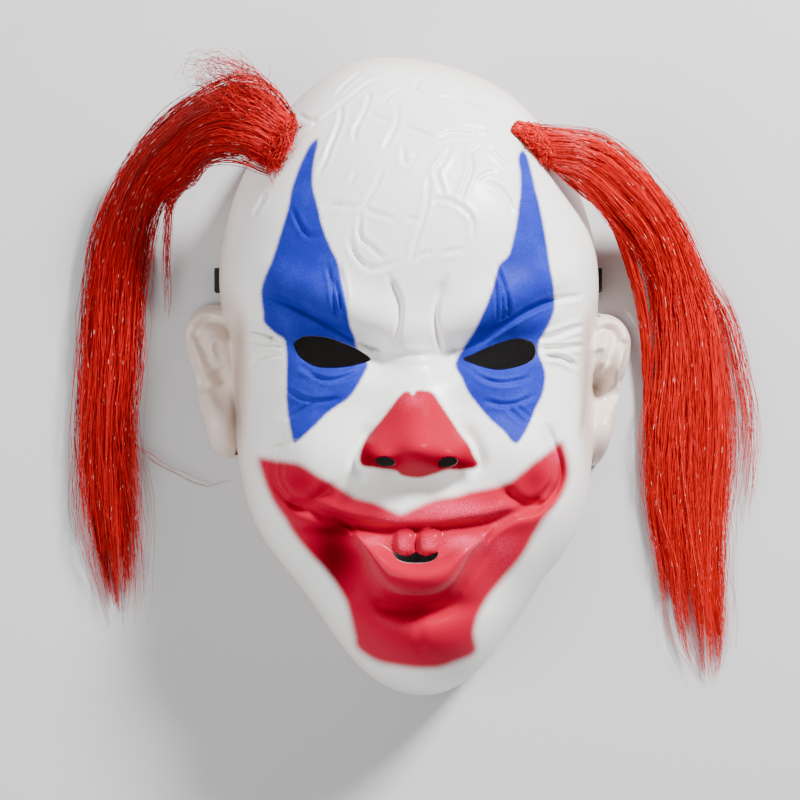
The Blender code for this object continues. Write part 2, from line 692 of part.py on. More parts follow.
def lock(name, route, root, side, fall, item):
    """One tapering lock that leaves the root strip, falls over the rim and lies on the surface."""
    point, normal, run = surface_frame(*root)
    rows = through([tuple(row) for row in route], 6)
    rows = rows[: max(2, int(round(item.length * (len(rows) - 1))) + 1)]
    pick = np.linspace(0, len(rows) - 1, LOCK_STEPS)
    rows = np.array([[np.interp(k, np.arange(len(rows)), rows[:, c]) for c in range(4)] for k in pick])
    start = point + normal * ROOT_THICKNESS * 0.6
    x = start[0] + side * rows[:, 0] * HAIR_REACH
    y = start[1] - rows[:, 1] * fall
    half_width = rows[:, 3] * BUNCH_WIDTH / 2
    share = np.linspace(0, 1, LOCK_STEPS)
    thick = BUNCH_THICKNESS / 2 * (THIN_START + (1 - THIN_START) * np.sin(np.pi * np.clip(share * 1.6, 0, 1)))
    taper = np.minimum(1, (1 - share) * TIP_TAPER) ** TIP_POWER
    thick_own = np.maximum(thick * item.girth * taper, LEAST_THICK)
    wide_own = np.maximum(half_width * LOCK_WIDTH * item.girth * taper, LEAST_WIDE)
    thick_own[0] = ROOT_THICKNESS * 0.3
    z = np.maximum(rows[:, 2] * start[2], thick_own + SEAT_GAP)
    z[0] = start[2]
    centre = np.stack([x, y, z], axis=1)
    way = np.gradient(centre, axis=0)
    way /= np.linalg.norm(way, axis=1, keepdims=True)
    flat = np.stack([-way[:, 1], way[:, 0], np.zeros(LOCK_STEPS)], axis=1)
    flat /= np.linalg.norm(flat, axis=1, keepdims=True)
    blend = np.clip(1 - share / TURN_SHARE, 0, 1)[:, None]
    along = run if run @ flat[0] > 0 else -run
    level = flat * (1 - blend) + along * blend
    level /= np.linalg.norm(level, axis=1, keepdims=True)
    over = np.cross(way, level)
    over /= np.linalg.norm(over, axis=1, keepdims=True)
    away = item.across * side * -1
    centre = centre + level * (away * half_width * (1 - LOCK_WIDTH * item.girth / 2))[:, None]
    mesh = bmesh.new()
    rings = []
    for k in range(LOCK_STEPS):
        ring = []
        for i in range(LOCK_SIDES):
            turn = 2 * math.pi * (i + 0.5) / LOCK_SIDES
            offset = level[k] * math.cos(turn) * wide_own[k] + over[k] * math.sin(turn) * thick_own[k]
            ring.append(mesh.verts.new(centre[k] + offset))
        rings.append(ring)
    for a, b in zip(rings[:-1], rings[1:]):
        for i in range(LOCK_SIDES):
            j = (i + 1) % LOCK_SIDES
            mesh.faces.new((a[i], a[j], b[j], b[i]))
    mesh.faces.new(rings[0][::-1])
    mesh.faces.new(rings[-1])
    bmesh.ops.recalc_face_normals(mesh, faces=mesh.faces)
    return add(name, mesh, cutter=True)


def hair_bunch(name, side, root, route, fall, finish):
    """The root strip with its locks fused to it."""
    bunch = root_pad(name, root, finish)
    for item in LOCKS:
        combine(bunch, lock(f"{name}_{item.name}", route, root, side, fall, item), "UNION")
    return bunch


def centre_on_floor():
    """Moves all pieces together so that the origin is under the middle of the whole object."""
    bpy.context.view_layer.update()
    graph = bpy.context.evaluated_depsgraph_get()
    points = []
    for piece in bpy.data.objects:
        if not piece.hide_render:
            seen = piece.evaluated_get(graph).to_mesh()
            points += [tuple(vertex.co) for vertex in seen.vertices]
    points = np.array(points)
    low, high = points.min(axis=0), points.max(axis=0)
    middle = (low + high) / 2
    for piece in bpy.data.objects:
        piece.location = (-middle[0], -middle[1], -low[2])


def main():
    for old in list(bpy.data.objects):
        bpy.data.objects.remove(old, do_unlink=True)
    mask_shell()
    elastic_strap()
    red = material("red_hair", (0.62, 0.02, 0.02), 0.42)
    hair_bunch("hair_bunch_left", -1, LEFT_ROOT, LEFT_ROUTE, HAIR_FALL_LEFT, red)
    hair_bunch("hair_bunch_right", 1, RIGHT_ROOT, RIGHT_ROUTE, HAIR_FALL_RIGHT, red)
    centre_on_floor()


main()
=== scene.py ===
"""Clown horror mask: the finished look of the formed shell, its paint, the hair and the strap.

Laid out as an add-on and run as a script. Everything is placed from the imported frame. The mask's
own plan has its zero at the chin rim on the face's midline, and SHIFT moves it into the frame.
"""

import math
from collections import namedtuple

import bmesh
import bpy
import numpy as np
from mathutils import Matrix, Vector
from mathutils.bvhtree import BVHTree


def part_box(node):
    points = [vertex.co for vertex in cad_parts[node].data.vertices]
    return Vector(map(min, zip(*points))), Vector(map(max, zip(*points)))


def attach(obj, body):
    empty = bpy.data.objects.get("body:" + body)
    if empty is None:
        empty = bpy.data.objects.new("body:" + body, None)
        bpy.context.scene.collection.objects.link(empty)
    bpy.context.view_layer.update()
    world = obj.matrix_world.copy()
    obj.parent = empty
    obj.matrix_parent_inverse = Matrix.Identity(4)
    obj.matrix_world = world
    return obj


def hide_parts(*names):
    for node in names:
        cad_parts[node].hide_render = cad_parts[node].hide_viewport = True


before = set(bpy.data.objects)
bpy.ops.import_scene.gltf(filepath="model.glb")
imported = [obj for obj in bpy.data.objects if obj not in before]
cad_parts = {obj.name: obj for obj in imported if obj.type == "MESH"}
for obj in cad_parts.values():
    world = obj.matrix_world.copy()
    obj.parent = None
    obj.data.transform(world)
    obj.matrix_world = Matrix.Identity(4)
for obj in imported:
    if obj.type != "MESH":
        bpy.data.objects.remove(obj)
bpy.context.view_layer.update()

bl_info = {
    "name": "Clown mask builder",
    "version": (1, 0, 0),
    "blender": (4, 5, 0),
    "location": "3D View > Sidebar > Mask",
    "description": "Builds a painted clown mask shell with hair bunches and an elastic strap",
    "category": "Object",
}

SHELL_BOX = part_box("mask_shell")
MM = 0.001

# Face shell
FACE_HEIGHT = 0.270  # chin rim to the top of the crown
HALF_WIDTH = 0.080  # midline to the rim at the temples
FACE_DEPTH = 0.086  # rim plane to the front of the face
NOSE_RISE = 0.0135  # nose tip above the front of the face
WALL = 0.0012
CROWN_ROUNDNESS = 2.7  # exponent of the fall to the rim: low is a ball, high is a box
CHIN_ROUNDNESS = 5.0
RIM_FALL = 0.526
RIM_ROUNDING = 7.0  # degrees over which corners of the rim table are eased

# Ears, moulded in the same sheet
EAR_HEIGHT = 0.063
EAR_REACH = 0.0135  # beyond the face rim
EAR_DEPTH = 0.027  # rim plane to the ear's front
EAR_STEP = 0.004  # the right ear sits this much nearer the chin
BLEND = 0.004  # radius of the valley between ear and face

# Strap, its slots and the notches that let it pass under the rim
STRAP_WIDTH = 0.010
STRAP_THICKNESS = 0.0012
STRAP_UP = 0.645  # share of the face height
STRAP_CLEARANCE = 0.0005
RIM_STRIP = 0.0042  # wall left between notch and slot

Rim = namedtuple("Rim", "up left right")
Crest = namedtuple("Crest", "up height")
Bump = namedtuple("Bump", "name across up rise reach_across reach_up turn")
Fold = namedtuple("Fold", "name depth width points")
Crease = namedtuple("Crease", "name depth width points")

RIM = (
    Rim(0.994, -0.28, -0.14),
    Rim(0.980, -0.34, 0.18),
    Rim(0.958, -0.455, 0.40),
    Rim(0.935, -0.55, 0.54),
    Rim(0.897, -0.67, 0.66),
    Rim(0.838, -0.81, 0.79),
    Rim(0.780, -0.905, 0.89),
    Rim(0.712, -0.965, 0.965),
    Rim(0.645, -0.995, 0.995),
    Rim(0.590, -0.965, 0.985),
    Rim(0.530, -0.930, 0.965),
    Rim(0.460, -0.910, 0.965),
    Rim(0.375, -0.890, 0.955),
    Rim(0.297, -0.840, 0.920),
    Rim(0.233, -0.735, 0.830),
    Rim(0.176, -0.570, 0.670),
    Rim(0.117, -0.430, 0.530),
    Rim(0.059, -0.300, 0.410),
    Rim(0.020, -0.165, 0.300),
    Rim(0.000, 0.000, 0.130),
)
CENTRE_UP = 0.46

CREST = (
    Crest(0.00, 1.00),
    Crest(0.13, 0.96),
    Crest(0.25, 0.98),
    Crest(0.38, 0.97),
    Crest(0.50, 0.92),
    Crest(0.58, 0.95),
    Crest(0.70, 1.03),
    Crest(0.85, 1.08),
    Crest(1.00, 1.06),
)

# Forms that both halves of the face share, given for the right half
PAIRED = (
    Bump("eye socket", 0.400, 0.536, -0.095, 0.240, 0.024, 10),
    Bump("socket corner", 0.175, 0.518, -0.075, 0.090, 0.022, 0),
    Bump("brow", 0.440, 0.606, 0.040, 0.360, 0.026, 23),
    Bump("eye bag", 0.400, 0.478, 0.028, 0.220, 0.020, -5),
    Bump("cheek", 0.500, 0.390, 0.040, 0.220, 0.050, 0),
    Bump("nose wing", 0.190, 0.377, 0.085, 0.080, 0.022, 0),
    Bump("lip arm", 0.210, 0.252, 0.030, 0.130, 0.018, 30),
    Bump("smile corner", 0.520, 0.299, 0.025, 0.120, 0.018, 0),
    Bump("jaw hollow", 0.390, 0.205, -0.040, 0.130, 0.040, 0),
)
# Forms on the midline
SINGLE = (
    Bump("nose bulb", 0.000, 0.390, 1.000, 0.170, 0.029, 0),
    Bump("nose bridge", 0.000, 0.432, 0.090, 0.140, 0.048, 0),
    Bump("under the nose", 0.000, 0.346, -0.020, 0.220, 0.013, 0),
    Bump("upper lip", 0.000, 0.306, 0.035, 0.440, 0.026, 0),
    Bump("lower lip", 0.000, 0.218, 0.070, 0.240, 0.027, 0),
    Bump("under the lip", 0.000, 0.170, -0.055, 0.220, 0.015, 0),
    Bump("chin ball", 0.015, 0.126, 0.045, 0.230, 0.034, 0),
)
# Furrows, given for the right half
PAIRED_FOLDS = (
    Fold("under the brow", -0.038, 0.036, ((0.13, 0.530), (0.27, 0.543), (0.50, 0.582), (0.80, 0.616))),
    Fold("frown", -0.018, 0.030, ((0.12, 0.530), (0.085, 0.580), (0.13, 0.628))),
    Fold("smile", -0.040, 0.042, ((0.62, 0.430), (0.67, 0.388), (0.69, 0.345), (0.62, 0.312))),
    Fold("smile pocket", -0.030, 0.035, ((0.39, 0.340), (0.50, 0.314), (0.62, 0.318))),
    Fold("mouth line", -0.040, 0.032, ((0.62, 0.312), (0.48, 0.303), (0.34, 0.290), (0.08, 0.281))),
    Fold("beside the nose", -0.035, 0.030, ((0.20, 0.430), (0.275, 0.395), (0.285, 0.370), (0.21, 0.357))),
)

# Ear outline round its own centre, shares of its reach across and of its height up
EAR_CENTRE_UP = 0.492
EAR_OUTLINE = (
    (0.10, 0.50),
    (0.62, 0.47),
    (0.95, 0.38),
    (1.00, 0.27),
    (0.90, 0.15),
    (0.68, 0.00),
    (0.60, -0.15),
    (0.38, -0.31),
    (0.22, -0.44),
    (-0.10, -0.52),
    (-0.60, -0.50),
    (-0.95, -0.20),
    (-0.95, 0.25),
    (-0.55, 0.46),
)
EAR_HELIX = Fold("inside the helix", -0.22, 0.10, ((0.45, 0.30), (0.75, 0.24), (0.55, 0.02), (0.30, -0.12)))
EAR_CONCHA = Bump("concha", -0.05, -0.06, -0.45, 0.38, 0.15, 0)

LEFT_ROOT = (-0.635, 0.822, -119)  # across, up, degrees of the strip's run in plan
RIGHT_ROOT = (0.615, 0.822, -48)

# Fine creases, as pixels of the 800 by 800 view: depth and half width in millimetres
SCALP_CREASES = (
    Crease("scalp 1", 0.7, 0.75, ((324, 207), (334, 204), (356, 207), (364, 204), (370, 194), (376, 183))),
    Crease("scalp 2", 0.7, 0.75, ((363, 209), (379, 214), (394, 219))),
    Crease("scalp 3", 0.6, 0.75, ((407, 218), (419, 221))),
    Crease("scalp 4", 0.7, 0.75, ((429, 180), (427, 201), (422, 222), (415, 243), (411, 259))),
    Crease("scalp 5", 0.7, 0.75, ((430, 200), (447, 200), (461, 207), (471, 216), (473, 225), (472, 235))),
    Crease("scalp 6", 0.7, 0.75, ((360, 215), (360, 236), (373, 249), (386, 260))),
    Crease("scalp 7", 0.7, 0.8, ((348, 240), (356, 256), (367, 267), (379, 268), (398, 262))),
    Crease("scalp 8", 0.6, 0.75, ((416, 261), (423, 254), (430, 252))),
    Crease("scalp 9", 0.6, 0.75, ((442, 253), (463, 249))),
    Crease("scalp 10", 0.6, 0.75, (
        (291, 208), (296, 217), (302, 229), (310, 236), (323, 235), (331, 231), (351, 215),
    )),
    Crease("scalp 11", 0.6, 0.75, ((476, 179), (487, 173), (495, 172))),
    Crease("scalp 12", 0.6, 0.75, ((487, 182), (501, 189), (509, 200), (513, 211))),
    Crease("scalp 13", 0.7, 0.75, ((450, 149), (442, 163), (436, 172), (444, 196))),
    Crease("scalp 14", 0.7, 0.75, ((401, 124), (415, 130), (436, 138), (450, 133), (470, 134), (487, 137))),
    Crease("scalp 15", 0.6, 0.75, ((463, 126), (488, 130))),
    Crease("scalp 16", 0.7, 0.75, ((381, 104), (404, 101), (426, 101))),
    Crease("scalp 17", 0.7, 0.75, ((428, 97), (456, 99), (476, 108), (494, 120))),
    Crease("scalp 18", 0.6, 0.75, ((471, 99), (488, 110), (495, 116))),
    Crease("scalp 19", 0.6, 0.75, ((442, 74), (460, 80), (470, 92))),
    Crease("scalp 20", 0.6, 0.75, ((423, 77), (415, 88), (426, 96))),
    Crease("scalp 21", 0.6, 0.75, ((383, 102), (397, 90), (409, 86))),
    Crease("scalp 22", 0.6, 0.75, ((384, 76), (400, 74), (415, 74))),
    Crease("scalp 23", 0.6, 0.75, ((388, 69), (408, 69), (423, 74))),
    Crease("scalp 24", 0.7, 0.75, ((397, 106), (397, 121), (390, 137), (384, 149))),
    Crease("scalp 25", 0.6, 0.75, ((403, 144), (404, 161), (408, 164), (418, 156))),
    Crease("scalp 26", 0.7, 0.75, ((459, 203), (467, 182), (472, 169), (471, 152), (485, 144))),
    Crease("scalp 27", 0.6, 0.75, ((489, 147), (501, 159), (513, 169))),
    Crease("scalp 28", 0.6, 0.75, ((487, 95), (503, 109))),
    Crease("scalp 29", 0.6, 0.75, ((499, 112), (509, 124))),
    Crease("scalp 30", 0.7, 0.75, ((336, 95), (348, 82), (362, 71))),
    Crease("scalp 31", 0.7, 0.75, ((301, 135), (320, 121), (348, 99), (369, 83), (390, 76))),
    Crease("scalp 32", 0.6, 0.75, ((299, 114), (309, 120), (320, 121))),
    Crease("scalp 33", 0.7, 0.75, ((341, 102), (341, 116), (337, 130), (330, 147), (327, 156), (319, 173))),
    Crease("scalp 34", 0.7, 0.75, ((368, 92), (369, 100), (361, 119), (355, 130), (355, 141))),
    Crease("scalp 35", 0.6, 0.75, ((368, 113), (379, 118), (390, 121))),
    Crease("scalp 36", 0.6, 0.75, ((369, 162), (355, 173), (351, 180))),
    Crease("temple nick", 0.9, 0.9, ((253, 215), (259, 206), (265, 197))),
    Crease("scalp 37", 0.6, 0.75, ((382, 172), (374, 189), (365, 201))),
)
FACE_CREASES = (
    Crease("frown left", 0.8, 0.9, ((388, 277), (397, 295), (400, 310), (398, 331), (393, 351))),
    Crease("frown right", 0.8, 0.9, ((447, 278), (439, 292), (435, 313), (437, 334), (442, 353))),
    Crease("bridge", 0.7, 0.9, ((388, 354), (417, 355), (448, 354))),
    Crease("brow wrinkle left 1", 0.6, 0.7, ((327, 266), (332, 284), (334, 302), (339, 322))),
    Crease("brow wrinkle left 2", 0.6, 0.7, ((334, 278), (338, 294), (342, 312))),
    Crease("brow wrinkle left 3", 0.5, 0.7, ((339, 265), (344, 285), (347, 306))),
    Crease("brow wrinkle right 1", 0.7, 0.7, ((495, 263), (503, 283), (508, 300), (508, 320))),
    Crease("brow wrinkle right 2", 0.6, 0.7, ((494, 280), (497, 297), (498, 318))),
    Crease("brow wrinkle right 3", 0.6, 0.7, ((501, 286), (503, 303), (503, 321))),
    Crease("lid fold left", 1.2, 0.9, (
        (262, 293), (284, 301), (306, 312), (330, 325), (352, 338), (372, 348), (388, 352),
    )),
    Crease("lid fold right", 1.2, 0.9, (
        (446, 352), (464, 347), (484, 338), (505, 325), (530, 310), (552, 301), (580, 294),
    )),
    Crease("crow left 1", 1.5, 1.0, ((244, 328), (264, 333), (284, 344))),
    Crease("crow left 2", 1.5, 1.0, ((244, 337), (267, 343), (284, 346))),
    Crease("crow left 3", 1.5, 1.0, ((252, 365), (259, 356), (278, 353))),
    Crease("crow right 1", 1.5, 1.0, ((542, 340), (562, 333), (582, 326))),
    Crease("crow right 2", 1.5, 1.0, ((541, 348), (562, 348), (582, 346))),
    Crease("crow right 3", 1.5, 1.0, ((546, 355), (562, 358), (576, 366))),
    Crease("bag left 1", 0.7, 0.8, ((301, 366), (315, 376), (329, 380), (346, 377), (360, 370))),
    Crease("bag left 2", 0.6, 0.8, ((288, 391), (306, 400), (322, 401), (339, 399))),
    Crease("bag left 3", 0.6, 0.7, ((289, 418), (303, 409), (317, 401))),
    Crease("bag right 1", 0.7, 0.8, ((463, 364), (479, 376), (499, 383), (518, 381), (529, 378))),
    Crease("bag right 2", 0.6, 0.8, ((486, 401), (503, 405), (518, 403), (533, 396))),
    Crease("bag right 3", 0.6, 0.7, ((514, 403), (523, 411), (531, 419))),
    Crease("bag right 4", 0.6, 0.7, ((508, 408), (517, 416), (526, 425))),
    Crease("cheek left 1", 0.8, 0.9, (
        (283, 427), (276, 450), (273, 470), (276, 486), (288, 501), (303, 509),
    )),
    Crease("cheek left 2", 0.6, 0.8, ((290, 430), (283, 452), (281, 470), (284, 484), (294, 497))),
    Crease("cheek right 1", 0.9, 0.9, (
        (546, 425), (556, 447), (561, 466), (559, 484), (549, 500), (536, 510),
    )),
    Crease("cheek right 2", 0.7, 0.8, ((539, 428), (549, 449), (553, 466), (551, 482), (543, 494))),
    Crease("lip corner left", 0.7, 0.8, ((330, 514), (348, 525), (356, 538))),
    Crease("lip corner right", 0.7, 0.8, ((513, 519), (497, 528), (488, 540))),
    Crease("temple crease", 0.7, 0.9, ((552, 302), (566, 299), (581, 297))),
)

# Broader forms over the base relief, as pixels of the view: height and half width in millimetres
RIDGES = (
    Crease("mouth line", -1.3, 1.5, (
        (300, 507), (306, 510), (320, 511), (342, 520), (365, 529), (384, 532), (416, 531), (441, 530),
        (463, 527), (487, 523), (500, 518), (514, 514), (533, 513), (550, 505),
    )),
    Crease("upper lip edge", 1.0, 2.0, (
        (306, 501), (322, 503), (342, 511), (365, 519), (390, 522), (416, 521), (441, 520), (463, 517),
        (487, 513), (510, 506), (534, 503),
    )),
    Crease("corner fold left", -1.4, 2.0, ((337, 485), (322, 496), (307, 503), (290, 497), (279, 484))),
    Crease("corner fold right", -1.4, 2.0, ((500, 487), (514, 500), (530, 504), (543, 498), (552, 488))),
    Crease("under the lip", -1.8, 2.4, ((372, 594), (386, 607), (416, 615), (446, 608), (462, 592))),
    Crease("lip side left", -0.9, 2.2, ((340, 532), (352, 553), (361, 573), (372, 590))),
    Crease("lip side right", -0.9, 2.2, ((491, 546), (479, 566), (469, 580), (459, 592))),
    Crease("nose wing left", -1.0, 1.6, ((372, 430), (361, 446), (357, 460), (362, 470))),
    Crease("nose wing right", -1.0, 1.6, ((459, 430), (474, 446), (482, 460), (478, 470))),
    Crease("chin cleft", -0.6, 2.2, ((419, 622), (420, 640), (420, 655))),
    Crease("brow edge left", 1.0, 2.4, ((256, 287), (284, 293), (310, 306), (334, 320), (360, 333))),
    Crease("brow edge right", 1.0, 2.4, ((545, 298), (524, 306), (500, 320), (480, 330), (460, 338))),
    Crease("lid left", 0.7, 1.2, ((294, 372), (306, 373), (331, 375), (350, 371), (364, 364))),
    Crease("lid right", 0.7, 1.2, ((466, 368), (484, 376), (500, 377), (520, 374), (536, 364))),
)
EAR_RIDGES = (
    Crease("helix left", 2.4, 1.5, (
        (224, 311), (204, 313), (192, 321), (189, 332), (193, 347), (200, 366), (204, 386), (210, 398),
        (219, 412),
    )),
    Crease("helix groove left", -5.0, 1.9, (
        (232, 337), (222, 326), (208, 321), (199, 328), (199, 340), (205, 354), (211, 366),
    )),
    Crease("antihelix left", 2.4, 1.5, ((226, 340), (214, 340), (211, 352), (217, 362))),
    Crease("concha left", -7.0, 3.2, ((215, 369), (219, 376), (225, 383))),
    Crease("helix right", 2.4, 1.5, (
        (596, 320), (612, 321), (622, 327), (625, 340), (621, 358), (616, 376), (616, 390), (611, 408),
        (603, 424),
    )),
    Crease("helix groove right", -5.0, 1.9, (
        (590, 344), (598, 333), (609, 329), (616, 335), (615, 347), (610, 360), (606, 372),
    )),
    Crease("antihelix right", 2.4, 1.5, ((594, 350), (604, 347), (605, 358), (600, 368))),
    Crease("concha right", -7.0, 3.2, ((604, 376), (600, 383), (594, 390))),
    Crease("ear valley left", -2.0, 1.6, ((239, 318), (238, 350), (237, 380), (237, 410), (239, 440))),
    Crease("ear valley right", -2.0, 1.6, ((588, 325), (588, 355), (587, 385), (585, 415), (582, 440))),
)
Pillow = namedtuple("Pillow", "name height edge outline")
PILLOWS = (
    Pillow("lower lip", 6.2, 19, (
        (350, 531), (358, 548), (366, 568), (379, 590), (398, 603), (416, 607), (436, 603), (454, 588),
        (466, 570), (476, 551), (487, 536), (466, 539), (450, 548), (438, 556), (416, 561), (396, 556),
        (384, 547), (368, 537),
    )),
    Pillow("tooth left", 3.2, 7, ((395, 530), (414, 530), (414, 551), (404, 555), (395, 550))),
    Pillow("tooth right", 3.2, 7, ((418, 530), (440, 530), (438, 551), (428, 555), (418, 551))),
    Pillow("nose", 2.4, 18, (
        (404, 392), (432, 392), (444, 408), (462, 434), (476, 452), (480, 466), (462, 471), (446, 470),
        (432, 476), (419, 478), (403, 476), (390, 470), (374, 470), (360, 467), (358, 456), (366, 438),
        (384, 414),
    )),
)

# Paint and hole outlines, as pixels of the 800 by 800 view
BLUE_LEFT = (
    (318, 139), (310, 145), (303, 158), (298, 170), (292, 187), (288, 206), (282, 227), (273, 256),
    (263, 282), (261, 295), (263, 313), (264, 323), (275, 334), (285, 342), (286, 366), (286, 387),
    (287, 408), (291, 433), (295, 443), (311, 430), (326, 415), (337, 407), (348, 399), (358, 386),
    (365, 373), (368, 363), (357, 348), (355, 338), (350, 324), (347, 303), (343, 285), (339, 265),
    (329, 243), (323, 227), (319, 210), (316, 199), (313, 187), (313, 175), (314, 164), (316, 154),
)
BLUE_RIGHT = (
    (522, 150), (518, 158), (520, 175), (520, 194), (518, 208), (516, 225), (512, 243), (508, 255),
    (499, 265), (494, 281), (489, 298), (481, 316), (473, 333), (466, 343), (455, 363), (461, 378),
    (468, 393), (478, 406), (489, 419), (502, 430), (515, 444), (524, 435), (532, 419), (537, 407),
    (543, 394), (546, 378), (544, 366), (539, 353), (540, 341), (546, 331), (552, 318), (555, 306),
    (554, 286), (550, 265), (546, 236), (543, 220), (539, 201), (535, 187), (531, 169), (527, 155),
)
NOSE_PAINT = (
    (409, 391), (413, 395), (417, 390), (432, 392), (440, 403), (459, 431), (468, 443), (474, 456),
    (479, 466), (463, 470), (448, 470), (432, 475), (419, 478), (403, 476), (395, 471), (374, 468),
    (363, 466), (359, 459), (365, 440), (384, 416), (401, 394),
)
MOUTH_PAINT = (
    (258, 458), (276, 460), (299, 463), (319, 475), (337, 485), (354, 496), (376, 502), (392, 510),
    (402, 513), (417, 506), (434, 499), (457, 495), (472, 490), (489, 487), (507, 482), (520, 473),
    (534, 461), (551, 449), (562, 441), (568, 456), (570, 473), (567, 487), (558, 504), (546, 518),
    (536, 533), (526, 552), (514, 568), (502, 581), (489, 597), (481, 611), (476, 625), (475, 637),
    (476, 653), (458, 662), (441, 668), (421, 669), (400, 667), (376, 662), (357, 649), (354, 637),
    (350, 619), (345, 602), (335, 585), (323, 569), (309, 554), (295, 537), (283, 518), (271, 499),
    (263, 480),
)
LIP_EDGE = (
    (341, 523), (357, 542), (363, 558), (371, 572), (384, 588), (400, 598), (416, 600), (435, 596),
    (451, 585), (463, 569), (473, 553), (487, 537), (470, 527), (441, 528), (416, 529), (390, 530),
    (365, 528),
)
EYE_LEFT = (
    (294, 344), (302, 337), (315, 336), (329, 338), (343, 343), (357, 349), (371, 359), (360, 364),
    (346, 367), (331, 368), (317, 367), (306, 362), (298, 355),
)
EYE_RIGHT = (
    (463, 359), (473, 354), (486, 348), (499, 343), (513, 339), (523, 339), (533, 343), (536, 350),
    (534, 358), (526, 364), (513, 368), (499, 370), (486, 368), (473, 364),
)
MOUTH_HOLE = (
    (394, 552), (404, 556), (411, 555), (416, 552), (421, 555), (428, 556), (438, 552), (436, 558),
    (428, 562), (416, 563), (404, 562), (396, 558),
)
# Spots of thinner (above 0) or denser (below 0) paint, given by middle, reach in the view and amount. The
# darker spots under and beside the lower lip, along the mouth line, at the nose base and wings and in the
# mouth's corner folds are painted shade; the lighter spots on the lower lip's inner slopes are painted
# highlights.
Spot = namedtuple("Spot", "x y wide high amount")
PAINT_AND_PAINTED_LIGHT_SPOTS = (
    Spot(452, 509, 52, 11, 0.55),
    Spot(395, 519, 24, 7, 0.25),
    Spot(370, 540, 22, 10, 0.55),
    Spot(463, 541, 22, 12, 0.60),
    Spot(505, 548, 16, 24, 0.25),
    Spot(413, 400, 16, 10, 0.35),
    Spot(366, 452, 14, 16, -0.35),
    Spot(468, 452, 14, 16, -0.30),
    Spot(416, 594, 40, 9, -0.35),
    Spot(556, 455, 10, 14, 0.45),
    Spot(404, 542, 8, 10, 0.45),
    Spot(429, 542, 8, 10, 0.45),
    Spot(334, 556, 26, 44, -0.75),
    Spot(416, 611, 44, 8, -0.55),
    Spot(300, 482, 22, 14, -0.30),
    Spot(535, 480, 18, 20, -0.45),
    Spot(380, 462, 26, 10, -0.45),
    Spot(452, 462, 26, 10, -0.45),
    Spot(416, 530, 90, 5, -0.70),
)
Nostril = namedtuple("Nostril", "x y wide high tilt")
NOSTRILS = (
    Nostril(385.4, 461.4, 10.0, 5.0, 8),
    Nostril(447.6, 462.0, 10.0, 5.2, -8),
)


def through(points, steps=8, closed=False):
    """A smooth curve (Catmull-Rom) through the points."""
    p = np.array(points, float)
    if closed:
        p = np.vstack([p[-1], p, p[:2]])
    else:
        p = np.vstack([2 * p[0] - p[1], p, 2 * p[-1] - p[-2]])
    t = np.linspace(0, 1, steps, endpoint=False)[:, None]
    runs = []
    for a, b, c, d in zip(p[:-3], p[1:-2], p[2:-1], p[3:]):
        runs.append(b + 0.5 * t * (c - a + t * (2 * a - 5 * b + 4 * c - d + t * (3 * (b - c) + d - a))))
    if not closed:
        runs.append(p[-2:-1])
    return np.vstack(runs)


def polar_reach(outline):
    """Angle and radius of a closed outline round the origin, ready for interpolation."""
    angle = np.arctan2(outline[:, 1], outline[:, 0])
    order = np.argsort(angle)
    return angle[order], np.hypot(outline[:, 0], outline[:, 1])[order]


def reach_at(polar, angle):
    return np.interp(angle, polar[0], polar[1], period=2 * math.pi)


CENTRE_Y = CENTRE_UP * FACE_HEIGHT


def face_rim():
    """The rim round the middle of the face, rounded a little where its two halves meet."""
    left = [(row.left * HALF_WIDTH, row.up * FACE_HEIGHT - CENTRE_Y) for row in RIM]
    right = [(row.right * HALF_WIDTH, row.up * FACE_HEIGHT - CENTRE_Y) for row in RIM]
    polar = polar_reach(through(left + right[::-1], closed=True))
    angle = np.linspace(-math.pi, math.pi, 361)[:-1]
    reach = reach_at(polar, angle)
    near = np.arange(-20, 21)
    weight = np.exp(-((near / RIM_ROUNDING) ** 2))
    rounded = sum(w * np.roll(reach, k) for w, k in zip(weight, near)) / weight.sum()
    return angle, rounded


FACE_RIM = face_rim()


def ear_place(side):
    """Centre of an ear: it straddles the face rim."""
    return side * HALF_WIDTH, EAR_CENTRE_UP * FACE_HEIGHT - (EAR_STEP if side > 0 else 0.0)


def ear_rim():
    outline = [(a * EAR_REACH, b * EAR_HEIGHT) for a, b in EAR_OUTLINE]
    return polar_reach(through(outline, closed=True))


EAR_RIM = ear_rim()


def ear_share(x, y, side):
    """0 at the ear's centre and 1 at its edge."""
    cx, cy = ear_place(side)
    u, v = side * (x - cx), y - cy
    return np.hypot(u, v) / reach_at(EAR_RIM, np.arctan2(v, u))


def face_share(x, y):
    """0 at the middle of the face and 1 at its rim."""
    v = y - CENTRE_Y
    return np.hypot(x, v) / reach_at(FACE_RIM, np.arctan2(v, x))


def swell(x, y, bump, across, wide, high):
    """A rounded hill or hollow, 1 at its middle."""
    turn = math.radians(bump.turn)
    u, v = x - across, y - bump.up * high
    a = (u * math.cos(turn) + v * math.sin(turn)) / (bump.reach_across * wide)
    b = (v * math.cos(turn) - u * math.sin(turn)) / (bump.reach_up * high)
    return np.exp(-(a**2) - b**2)


def groove(x, y, points, width):
    """A soft furrow along a curve, 1 on it and fading out at both ends."""
    line = through(points, 6)
    a, b = line[:-1], line[1:]
    near = np.full(np.shape(x), 1e9)
    along = np.zeros(np.shape(x))
    for i in range(len(a)):
        run = b[i] - a[i]
        t = np.clip(((x - a[i][0]) * run[0] + (y - a[i][1]) * run[1]) / (run @ run), 0, 1)
        gap = np.hypot(x - a[i][0] - t * run[0], y - a[i][1] - t * run[1])
        along = np.where(gap < near, (i + t) / len(a), along)
        near = np.minimum(near, gap)
    fade = np.clip(np.minimum(along, 1 - along) * 5, 0, 1)
    return np.exp(-((near / width) ** 2)) * (0.15 + 0.85 * fade * fade * (3 - 2 * fade))


